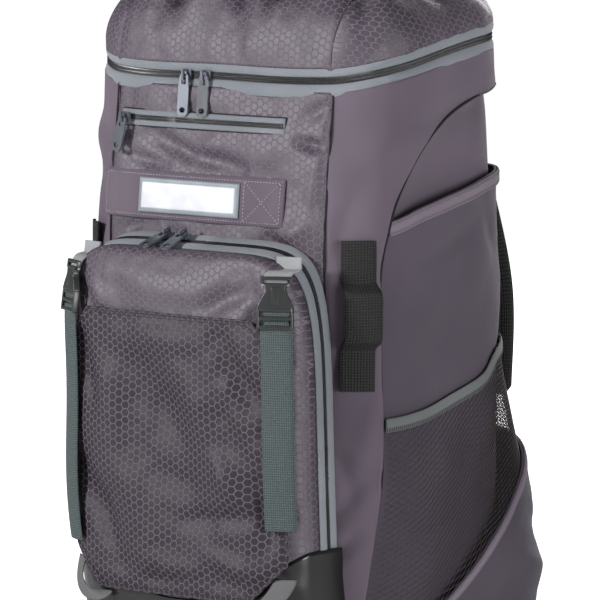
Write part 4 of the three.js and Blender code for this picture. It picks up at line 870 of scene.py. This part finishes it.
for (side, sign), tail_end, bow in zip(SIDES, (95, 70), (1.0, 2.6)):
    place = sign * STRAP_PLACE
    u, v = grid(13, 40)
    z = lerp(UPPER_BOTTOM, UPPER_TOP, v)
    across, _, out = pocket_frame(place, 276.0)
    level = unit(pocket_point(place + 6.0, 302.0) - pocket_point(place - 6.0, 302.0))
    turned = lerp(across, level, smooth(z, 290, 306)[..., None])
    over = pocket_point(np.full_like(z, place - sign * 1.5), z) + turned * ((u - 0.5) * WEBBING * 0.86)[..., None]
    upper = over + out * (0.2 + 4.6 * smooth(UPPER_TOP - z, 0, 16) + 0.3 * np.sin(u * 9))[..., None]
    cloth(f"upper_webbing_{side}_cloth", upper, PALE, "light_webbing", f"upper_webbing_{side}", thick=1.3,
          on="pocket_front")
    u, v = grid(13, 120)
    z = lerp(tail_end, STRAP_TOP, v)
    across, _, out = pocket_frame(place + 0 * z, z)
    edge = pocket_point(place + (u - 0.5) * WEBBING * across[..., 0], z)
    lift = 4 + 2.2 * LAYER + flap_lift(z) + 1.2 * np.sin((z - tail_end) / 26) + bow * arch(v) ** 0.7
    tail = edge + out * (lift + 0.35 * (1 - (2 * u - 1) ** 8))[..., None]
    cloth(f"strap_tail_{side}_cloth", tail, STRAP, "strap_webbing", f"strap_tail_{side}", thick=1.3,
          on="flap", held="hung")

BUCKLE_HALF = [
    (0, 13.2), (1.2, 14.4), (15, 14.4), (19, 13.6), (24, 11.2), (28, 8.6), (31, 7.6), (34, 8), (36.5, 10.6),
    (38, 12.2), (41, 12.6),
]


def bevelled(piece, width, segments):
    rounding = piece.modifiers.new("rounded edges", "BEVEL")
    rounding.width = width * MM
    rounding.segments = segments
    rounding.limit_method = "ANGLE"


def moulding(name, outline, low, high, frame_of, node=None, bevel=0.8):
    """A plastic plate with rounded edges: an outline (across, up) between two depths in a frame"""
    base, across, up, out = frame_of
    count = len(outline)
    rings = [base + across * a + up * t + out * n for n in (low, high) for a, t in outline]
    faces = [tuple(range(count))[::-1], tuple(range(count, 2 * count))]
    faces += [(k, (k + 1) % count, (k + 1) % count + count, k + count) for k in range(count)]
    bevelled(link(name, mesh_of(name, rings, faces), PLASTIC, "buckle_plastic", node), bevel, 3)


def rectangle(left, right, low, high):
    return [(left, low), (right, low), (right, high), (left, high)]


for side, sign in SIDES:
    across, up, out = pocket_frame(sign * STRAP_PLACE, BUCKLE_MIDDLE, BUCKLE_LENGTH)
    at = pocket_point(sign * STRAP_PLACE, BUCKLE_MIDDLE) + out * BUCKLE_OUT - up * BUCKLE_LENGTH / 2
    place = (at, across, up, out)
    heights = np.linspace(17, 36.5, 24)
    halves = np.interp(heights, *np.array(BUCKLE_HALF).T)
    waist = [*zip(halves, heights), *zip(-halves[::-1], heights[::-1])]
    moulding(f"buckle_body_{side}", waist, -2.6, 2.6, place, f"buckle_socket_{side}", 1.2)
    for k, (low, high) in enumerate(((0.4, 3.6), (7.6, 10.6), (14.2, 17.4))):
        moulding(f"buckle_bar_{side}_{k}", rectangle(-13.4, 13.4, low, high), -1.4, 2.2, place)
    for k, edge in enumerate((-14.4, 12.4)):
        moulding(f"buckle_rail_{side}_{k}", rectangle(edge, edge + 2, 0.4, 17.4), -2.4, 2.4, place)
        post = edge * 0.86
        moulding(f"buckle_post_{side}_{k}", rectangle(post, post + 2, 36, 41), -1.6, 1.6, place,
                 None if k else f"buckle_plug_{side}", 0.5)
    moulding(f"buckle_top_{side}", rectangle(-12.4, 12.2, 38.6, 41.4), -1.6, 1.6, place)
    moulding(f"buckle_tongue_{side}", rectangle(-3.2, 3.2, 20, 33), 2.2, 3.0, place, bevel=0.3)
    u, v = grid(12, 30)
    inner = at + across * ((u - 0.5) * 23.5)[..., None] + up * (v * 15)[..., None]
    inner = inner + out * (0.9 * np.sin(v * 9.4) - 0.4)[..., None]
    cloth(f"buckle_webbing_{side}", inner, STRAP, "strap_webbing", thick=1.2, on=f"buckle_socket_{side}")

# ---- Label strip and blank badge
LABEL_LEFT, LABEL_RIGHT, LABEL_LOW, LABEL_HIGH, LABEL_HEM = -116, 75, 325, 363, 3
LABEL_FOLDS = [(-104, 330, -100, 358, 8, 1), (52, 330, 70, 358, 5, -0.6)]


def inside(x, z, left, right, low, high):
    """How far a place is inside a rectangle"""
    return np.minimum(np.minimum(x - left, right - x), np.minimum(z - low, high - z))


u, v = grid(110, 30)
x, z = lerp(LABEL_LEFT, LABEL_RIGHT, u), lerp(LABEL_LOW, LABEL_HIGH, v)
edge = smooth(inside(x, z, LABEL_LEFT, LABEL_RIGHT, LABEL_LOW, LABEL_HIGH), 0, LABEL_HEM)
lift = 1.0 + 1.6 * edge + 0.4 * rumple(x, z, 30, 51) + creases(x, z, LABEL_FOLDS)
cloth("label_cloth", front_point(x, z, lift), PLAIN, "plain_cloth", "label_strip", thick=1.4,
      uv=flat(x, z), on="front_panel")


def label_line(x0, z0, x1, z1, count=40):
    xs, zs = np.linspace(x0, x1, count), np.linspace(z0, z1, count)
    return front_point(xs, zs, 2.75 + 0.4 * rumple(xs, zs, 30, 51))


left, middle, right = LABEL_LEFT + LABEL_HEM, 36, LABEL_RIGHT - LABEL_HEM
low, high = LABEL_LOW + LABEL_HEM, LABEL_HIGH - LABEL_HEM
stitches("label_stitches", [
    label_line(left, low, right, low, 90), label_line(left, high, right, high, 90),
    *(label_line(x, low, x, high) for x in (left, right, middle)),
    label_line(middle, low, right, high), label_line(middle, high, right, low)],
    "plain_cloth", width=0.85, height=0.4, material=THREAD)


def plate(name, left, right, low, high, out, bulge, material, node=None):
    u, v = grid(60, 22)
    x, z = lerp(left, right, u), lerp(low, high, v)
    points = front_point(x, z, out + bulge * smooth(inside(x, z, left, right, low, high), 0, 1.2))
    cloth(name, points, material, "badge_face", node, thick=1.0, uv=flat(x, z))


plate("badge_border", -73, 32, 330, 358, 3.4, 1.0, moulded("badge border", srgb(122, 130, 136), 0.5), "badge")
plate("badge_face", -69.5, 28.5, 333.5, 354.5, 4.3, 0.5, moulded("badge face", srgb(196, 198, 204), 0.45, grain=500.0))


# ---- Side pockets
def side_edge(column, angle):
    return ZIP_HEIGHT * read(SIDE_EDGES, column, angle)


def sleeve_out(angle):
    return lerp(-UNDER, UNDER, smooth(angle, -33, 34))


SLEEVE_FOLDS = [
    (-30, 300, 20, 322, 8, -2.6), (0, 250, 30, 300, 14, 2.6), (-60, 200, 10, 260, 18, -2.4), (60, 240, 90, 330, 14, 2),
    (-20, 330, 0, 280, 10, 2), (30, 350, 50, 300, 9, -2),
]


def sleeve_cloth_out(angle, height):
    around = angle * PER_DEGREE
    return sleeve_out(angle) + 1.3 * rumple(around, height, 54, 71) + creases(around, height, SLEEVE_FOLDS)


def sleeve_end(height):
    return back_angle(BACK_WIDTH / 2 - 2 * ZIP_LAP, height)


u, v = grid(90, 130)
top = RECESS_TOP + ZIP_LAP
height = lerp(PANEL_BOTTOM, top, v)
end = back_angle(BACK_WIDTH / 2 - ZIP_LAP, height)
start = np.minimum(recess_angle(height), end - 18) - 3
RECESS_STEPS = [(0, 0), (0.14, 0.75), (0.3, 1), (0.55, 0.85), (0.7, 0.3), (0.8, 0.05), (1, 0)]
depth = UNDER * lerp(2, 0.9, u) + 14 * read(RECESS_STEPS, 1, u) * clip((top - height) / 28)
angle = between(start, end, u)
both("recess_cloth_#", body_point(angle, height, -depth + 0.6 * rumple(angle * PER_DEGREE, height, 50, 61)), PLAIN,
     "plain_cloth", node="recess_wall_#", rim=True, on="side_panel_#")

u, v = grid(96, 120)
reference = lerp(PANEL_BOTTOM, side_edge(1, 0), v)
angle = between(recess_angle(reference) - 1.5, sleeve_end(reference), u)
height = reference + (side_edge(1, angle) - side_edge(1, 0)) * v ** 3
both("sleeve_cloth_#", body_point(angle, height, sleeve_cloth_out(angle, height)), SLEEVE, "plain_cloth",
     node="sleeve_panel_#", rim=True, on="side_panel_#")

BAND_WIDTH, HEEL_BAND_WIDTH = 11, 9.5
u, v = grid(150, 16)
reference = side_edge(1, 0)
angle = between(recess_angle(reference - BAND_WIDTH) - 1.2, sleeve_end(reference), u)
height = side_edge(1, angle) - BAND_WIDTH * (1 - v)
puckers = 0.35 * np.sin(angle * PER_DEGREE * 1.9 + 2 * noise(angle, height, 6, 3)) * arch(v)
out = sleeve_cloth_out(angle, height) + 1.5 + 0.35 * arch(v) ** 0.4 + puckers
both("sleeve_band_#_cloth", body_point(angle, height, out), EDGE, "plain_cloth", node="sleeve_band_#", thick=1.3,
     on="sleeve_panel_#")
column = np.arange(len(angle))
for k, low in enumerate((1, 11)):
    zigzag = column, low + column % 2 * 3
    line = body_point(angle[zigzag], height[zigzag], out[zigzag] + 0.25)
    stitches(f"sleeve_band_stitches_{k}", mirrored(line), "plain_cloth", pitch=1.9, length=1.5, width=0.4, height=0.25)


def bulge(angle, height):
    return HEEL_BULGE * read(BULGE_ROUND, 1, angle) * read(BULGE_UP, 1, height / ZIP_HEIGHT)


def net_out(angle, height):
    return np.maximum(sleeve_out(angle), -1) + LAYER + 1 + bulge(angle, height)


POCKET_START, POCKET_END = -35.5, 45.5
NET_FOLDS = [
    (-60, 178, -40, 120, 7, 4), (-46, 184, -28, 110, 6, -3), (-20, 182, -18, 120, 6, 3.5), (10, 190, 0, 130, 8, -2.5),
    (34, 200, 20, 150, 8, 3.5), (-70, 70, -30, 90, 9, -2.5), (-50, 50, -20, 60, 7, 3), (-30, 150, 20, 100, 9, 3),
]


def net_point(u, v):
    reference = lerp(PANEL_BOTTOM, side_edge(2, POCKET_START), v)
    angle = between(recess_angle(reference) + 0.4, POCKET_END, u)
    low = np.maximum(PANEL_BOTTOM, side_edge(3, angle) - ZIP_LAP)
    height = lerp(low, side_edge(2, angle), v)
    fold = creases(angle * PER_DEGREE, height, NET_FOLDS) * arch(clip(v)) * arch(clip(u)) ** 0.5
    return body_point(angle, height, net_out(angle, height) + fold)


def net(name, sign, node):
    """Open netting: diamonds about 3 mm across, with thin strands"""
    columns, rows = 46, 64
    faces, index = [], {}
    for i in range(1, columns):
        for j in range(2 - i % 2, rows, 2):
            corners = [(i, j - 1), (i + 1, j), (i, j + 1), (i - 1, j)]
            faces.append([index.setdefault(corner, len(index)) for corner in corners][::sign])
    place = net_point(*(np.array(list(index)) / (columns, rows)).T) * (sign, 1, 1)
    piece = link(name, mesh_of(name, place, faces), NET, "mesh_net", node)
    strands = piece.modifiers.new("strands", "WIREFRAME")
    strands.thickness = 0.95 * MM
    strands.use_even_offset = False
    strands.offset = 0
    whole = net_point(*grid(60, 60))
    width, length = (lengths(whole, axis).max() * MM * SPARE for axis in (0, 1))


net("net_right", 1, "mesh_pocket_right")
net("net_left", -1, "mesh_pocket_left")

u, v = grid(130, 16)
angle = between(recess_angle(side_edge(2, POCKET_START)) + 0.4, POCKET_END, u)
height = side_edge(2, angle) - BAND_WIDTH * (1 - v)
out = net_out(angle, height) + 0.9 + 1.2 * arch(v) ** 0.5 + 0.3 * noise(angle * PER_DEGREE, height, 12, 5)
both("net_binding_#", body_point(angle, height, out), BINDING, "edge_binding", node="mesh_binding_#", thick=1.2,
     on="mesh_pocket_#")
line = body_point(angle[:, 3], height[:, 3], out[:, 3] + 0.3)
stitches("net_binding_stitches", mirrored(line), "edge_binding", pitch=1.9, length=0.9, width=3.4, height=0.3)


def heel_out(angle, height):
    return net_out(angle, height) + 1.2 + CLOTH


HEEL_START, HEEL_UNDER, HEEL_FLOOR = -16, 0.16, 10
HEEL_FOLDS = [
    (60, 90, 96, 60, 9, -2.6), (40, 60, 90, 40, 8, 2.2), (80, 130, 104, 90, 8, 2.4), (30, 40, 80, 24, 7, -2.4),
    (96, 60, 112, 30, 8, -2.2),
]
HEEL = woven("heel cloth", srgb(64, 58, 68), srgb(78, 71, 82), rough=0.65, crinkle=0.2)
u, v = grid(96, 96)
angle = between(HEEL_START, POCKET_END, u)
share = clip((v - HEEL_UNDER) / (1 - HEEL_UNDER))
height = np.maximum(lerp(BOOT_FLOOR + HEEL_FLOOR, side_edge(3, angle), share), BOOT_FLOOR + 2)
under = clip(v / HEEL_UNDER) * math.pi / 2
around = angle * PER_DEGREE
fold = creases(around, height, HEEL_FOLDS) + rumple(around, height, 36, 81)
out = heel_out(angle, height) + fold * arch(np.clip(share, 0.03, 0.97)) ** 0.6
out = np.where(v < HEEL_UNDER, lerp(GAP, out, np.sin(under) ** 0.7), out)
floor_z = BOOT_FLOOR + np.minimum(HEEL_FLOOR, side_edge(3, angle) - BOOT_FLOOR) * (1 - np.cos(under))
height = np.where(v < HEEL_UNDER, floor_z, height)
both("heel_cloth_#", body_point(angle, height, out), HEEL, "plain_cloth", node="heel_pocket_#", rim=True,
     on="base")

u, v = grid(150, 14)
angle = between(HEEL_START, POCKET_END, u)
height = np.maximum(side_edge(3, angle) - HEEL_BAND_WIDTH * (1 - v), 3)
out = heel_out(angle, height) + 0.9 + 1.1 * arch(v) ** 0.5 + 0.3 * noise(angle * PER_DEGREE, height, 9, 5)
both("heel_edge_#", body_point(angle, height, out), EDGE, "plain_cloth", node="heel_binding_#", thick=1.2,
     on="heel_pocket_#")
for k, row in enumerate((3, 11)):
    line = body_point(angle[:, row], height[:, row], out[:, row] + 0.15)
    stitches(f"heel_edge_stitches_{k}", mirrored(line), "plain_cloth", pitch=2.6, length=1.3, width=0.8, height=0.25)

# ---- Side handles
HANDLE_ANGLE, HANDLE_TOP, HANDLE_LENGTH, HANDLE_PATCH, HANDLE_BOW = -35.5, 318, 118, 32, 10.5
u, v = grid(15, 120)
z = HANDLE_TOP - HANDLE_LENGTH * (1 - v)
patch = HANDLE_PATCH / HANDLE_LENGTH
middle = clip((v - patch) / (1 - 2 * patch))
bow = smooth(np.minimum(middle, 1 - middle), 0, 0.16) * HANDLE_BOW + 0.6 * np.sin(middle * 9)
half_angle = np.degrees(WEBBING / BODY_WIDTH)
angle = HANDLE_ANGLE + lerp(-half_angle, half_angle, u) + 0.5 * smooth(arch(middle), 0, 1)
both("handle_#_webbing", body_point(angle, z, LAYER + 2 + bow + 0.3 * (1 - (2 * u - 1) ** 8)), BLACK, "black_webbing",
     node="handle_#", thick=2.0, on="side_panel_#")

# ---- Boot loops
LOOP_PLACE, LOOP_REACH, LOOP_WIDTH, LOOP_BOW = 90, 23, 15, 11
u, v = grid(12, 50)
turn = math.pi * v
across = lerp(LOOP_REACH - LOOP_WIDTH, LOOP_REACH, u)
z = lerp(56, 32, v) - np.sin(turn) * across * 0.8
points = pocket_point(LOOP_PLACE + np.cos(turn) * across, np.maximum(z, BOOT_ROUND))
points[..., 2] = z
points[..., 1] -= 2 * LAYER + LOOP_BOW * np.sin(turn) + 1.4
both("boot_loop_#_webbing", points, LOOP, "strap_webbing", node="boot_loop_#", thick=1.3, on="pocket_boot")

# ---- Back pad and shoulder straps
PAD_WIDTH, PAD_TOP, PAD_BOTTOM, PAD_THICK, PAD_CHANNELS = 184, 408, 46, 11, (300, 170)
SHOULDER_HALF, SHOULDER_DEEP = 30, 5.5


def pad_share(value):
    return 1 - np.abs(2 * value - 1) ** 6


u, v = grid(80, 140)
x, z = (u - 0.5) * PAD_WIDTH, lerp(PAD_BOTTOM, PAD_TOP, v)
round_off = clip(pad_share(u) * pad_share(v))
channel = 1 - 0.55 * np.exp(-((x / 7) ** 2)) - 0.4 * sum(np.exp(-(((z - at) / 6) ** 2)) for at in PAD_CHANNELS)
out = LAYER + GAP + 3 + (PAD_THICK - 3) * round_off ** 0.5 * np.clip(channel, 0.25, 1)
cloth("back_pad_cloth", back_point(x, z, out), AIR_MESH, "back_padding", "back_pad", thick=2.5, pad=0.5)


def shoulder_low(z, offset):
    return back_point(0 * z, z, 0)[..., 1] + GAP + offset


def shoulder_middle(v):
    x = PAD_WIDTH * read(SHOULDER_COURSE, 1, v)
    z = PAD_BOTTOM + (PAD_TOP - PAD_BOTTOM) * read(SHOULDER_COURSE, 2, v)
    return stack(x, shoulder_low(z, PAD_THICK * read(SHOULDER_COURSE, 3, v)), z)


u, v = grid(48, 110)
loop = 2 * math.pi * u
way = unit(shoulder_middle(np.minimum(v + 0.02, 1)) - shoulder_middle(np.maximum(v - 0.02, 0)))
across = unit(np.stack([way[..., 2], 0 * v, -way[..., 0]], -1))
side = np.sign(np.cos(loop)) * np.abs(np.cos(loop)) ** 0.6
lift = np.sign(np.sin(loop)) * np.abs(np.sin(loop)) ** 0.6
end = smooth(np.minimum(v, 1 - v), 0, 0.03)
points = shoulder_middle(v) + across * (side * SHOULDER_HALF * lerp(0.86, 1, end))[..., None]
points[..., 1] += SHOULDER_DEEP + lift * SHOULDER_DEEP * lerp(0.4, 1, end)
for side, sign in SIDES:
    ring = (points[:-1] * (sign, 1, 1))[::-sign]
    name = f"shoulder_{side}_pad"
    mesh = mesh_of(name, ring, quads(*ring.shape[:2], True), np.stack([u[:-1] * 130, v[:-1] * 300], -1))
    link(name, mesh, AIR_MESH, "back_padding", f"shoulder_strap_{side}")

u, v = grid(10, 60)
start = shoulder_middle(1.0)
z = lerp(PAD_BOTTOM - 12, start[2] + 12, v)
x = lerp(start[0] - 6, start[0], v) + (u - 0.5) * WEBBING
y = lerp(shoulder_low(z, 3), start[1] - GAP - 1.4, smooth(v, -0.1, 0.5))
both("shoulder_#_webbing", stack(x, y + 1.4, z), BLACK, "black_webbing", node="shoulder_webbing_#", thick=1.4,
     on="back_panel")

# ---- Hard parts that keep their CAD shape
def dress(name, material):
    node = NODES[name]
    node.data.materials.clear()
    node.data.materials.append(material)
    bevelled(node, 0.35, 2)


for name in ("top_slider_left", "top_slider_right", "chest_slider", "pocket_slider_left", "pocket_slider_right",
             "top_pull_left", "chest_pull", "pocket_pull_left", "pocket_pull_right"):
    dress(name, METAL)
dress("top_pull_right", CHROME)

# ---- Seams: painted shade along the front seams, and their stitches
line_z = np.linspace(PANEL_BOTTOM, float(body_top(FRONT_SEAM)), 260)
seam_shadow_line = front_point(np.full(260, FRONT_WIDTH / 2), line_z, -0.9)
# each front seam gets a near-black cord of painted shade
for side, sign in SIDES:
    tube(f"front_seam_shadow_{side}", seam_shadow_line * (sign, 1, 1), 0.8, "hex_cloth")
beside = front_point(np.full(260, FRONT_WIDTH / 2 - 2.2), line_z, -0.05)
stitches("front_seam_shadow_stitches", mirrored(beside), "hex_cloth", length=1.6, width=0.5, height=0.3)

# ---- Stage, lights and camera
AIM_HEIGHT, LIT_HEIGHT = 0.255, 0.28
WORLD_LIGHT, WORLD_SEEN, FLOOR_SEEN = 0.13, 1.0, 0.9


def add(name, data, place=(0, 0, 0)):
    thing = bpy.data.objects.new(name, data)
    bpy.context.scene.collection.objects.link(thing)
    thing.location = place
    return thing


def area_light(name, place, size, power):
    light = bpy.data.lights.new(name, "AREA")
    light.shape = "DISK"
    light.size = size
    light.energy = power
    towards = Vector((0, 0, LIT_HEIGHT)) - Vector(place)
    add(name, light, place).rotation_euler = towards.to_track_quat("-Z", "Y").to_euler()


area_light("key", (-1.05, -2.1, 1.15), 0.4, 62)
area_light("fill", (2.3, -0.8, 0.3), 1.2, 48)
area_light("back", (-0.6, 2.6, 1.2), 1.4, 40)

floor_mesh = bpy.data.meshes.new("floor")
floor_mesh.from_pydata([(x, y, -0.0005) for x, y in ((-6, -6), (6, -6), (6, 9), (-6, 9))], [], [(0, 1, 2, 3)])
floor = add("floor", floor_mesh)
floor_shade = Shade("floor")
floor_shade.feed(floor_shade.surface.inputs["Emission Color"], (1, 1, 1, 1))
seen = floor_shade.node("ShaderNodeLightPath").outputs["Is Camera Ray"]
floor_shade.feed(floor_shade.surface.inputs["Emission Strength"], floor_shade.math("MULTIPLY", seen, FLOOR_SEEN))
floor_mesh.materials.append(floor_shade.finish((0.9, 0.9, 0.9, 1), 0.9))

world = bpy.data.worlds.new("studio")
bpy.context.scene.world = world
bpy.context.scene.view_settings.view_transform = "Standard"
world.use_nodes = True
tree = world.node_tree
background = tree.nodes["Background"]
path = tree.nodes.new("ShaderNodeLightPath")
strength = tree.nodes.new("ShaderNodeMapRange")
strength.inputs[3].default_value = WORLD_LIGHT
strength.inputs[4].default_value = WORLD_SEEN
tree.links.new(path.outputs["Is Camera Ray"], strength.inputs[0])
tree.links.new(strength.outputs[0], background.inputs["Strength"])
background.inputs["Color"].default_value = (1, 1, 1, 1)

AZIMUTH, ELEVATION, DISTANCE = math.radians(40), math.radians(6), 5.0
right = Vector((math.cos(AZIMUTH), math.sin(AZIMUTH), 0))
aim = Vector((0, 0, AIM_HEIGHT)) - 0.0032 * right
away = Vector((math.sin(AZIMUTH) * math.cos(ELEVATION), -math.cos(AZIMUTH) * math.cos(ELEVATION), math.sin(ELEVATION)))
lens = bpy.data.cameras.new("camera")
lens.lens = 375
lens.sensor_width = 36
camera = add("camera", lens, aim + DISTANCE * away)
camera.rotation_euler = (-away).to_track_quat("-Z", "Y").to_euler()
bpy.context.scene.camera = camera
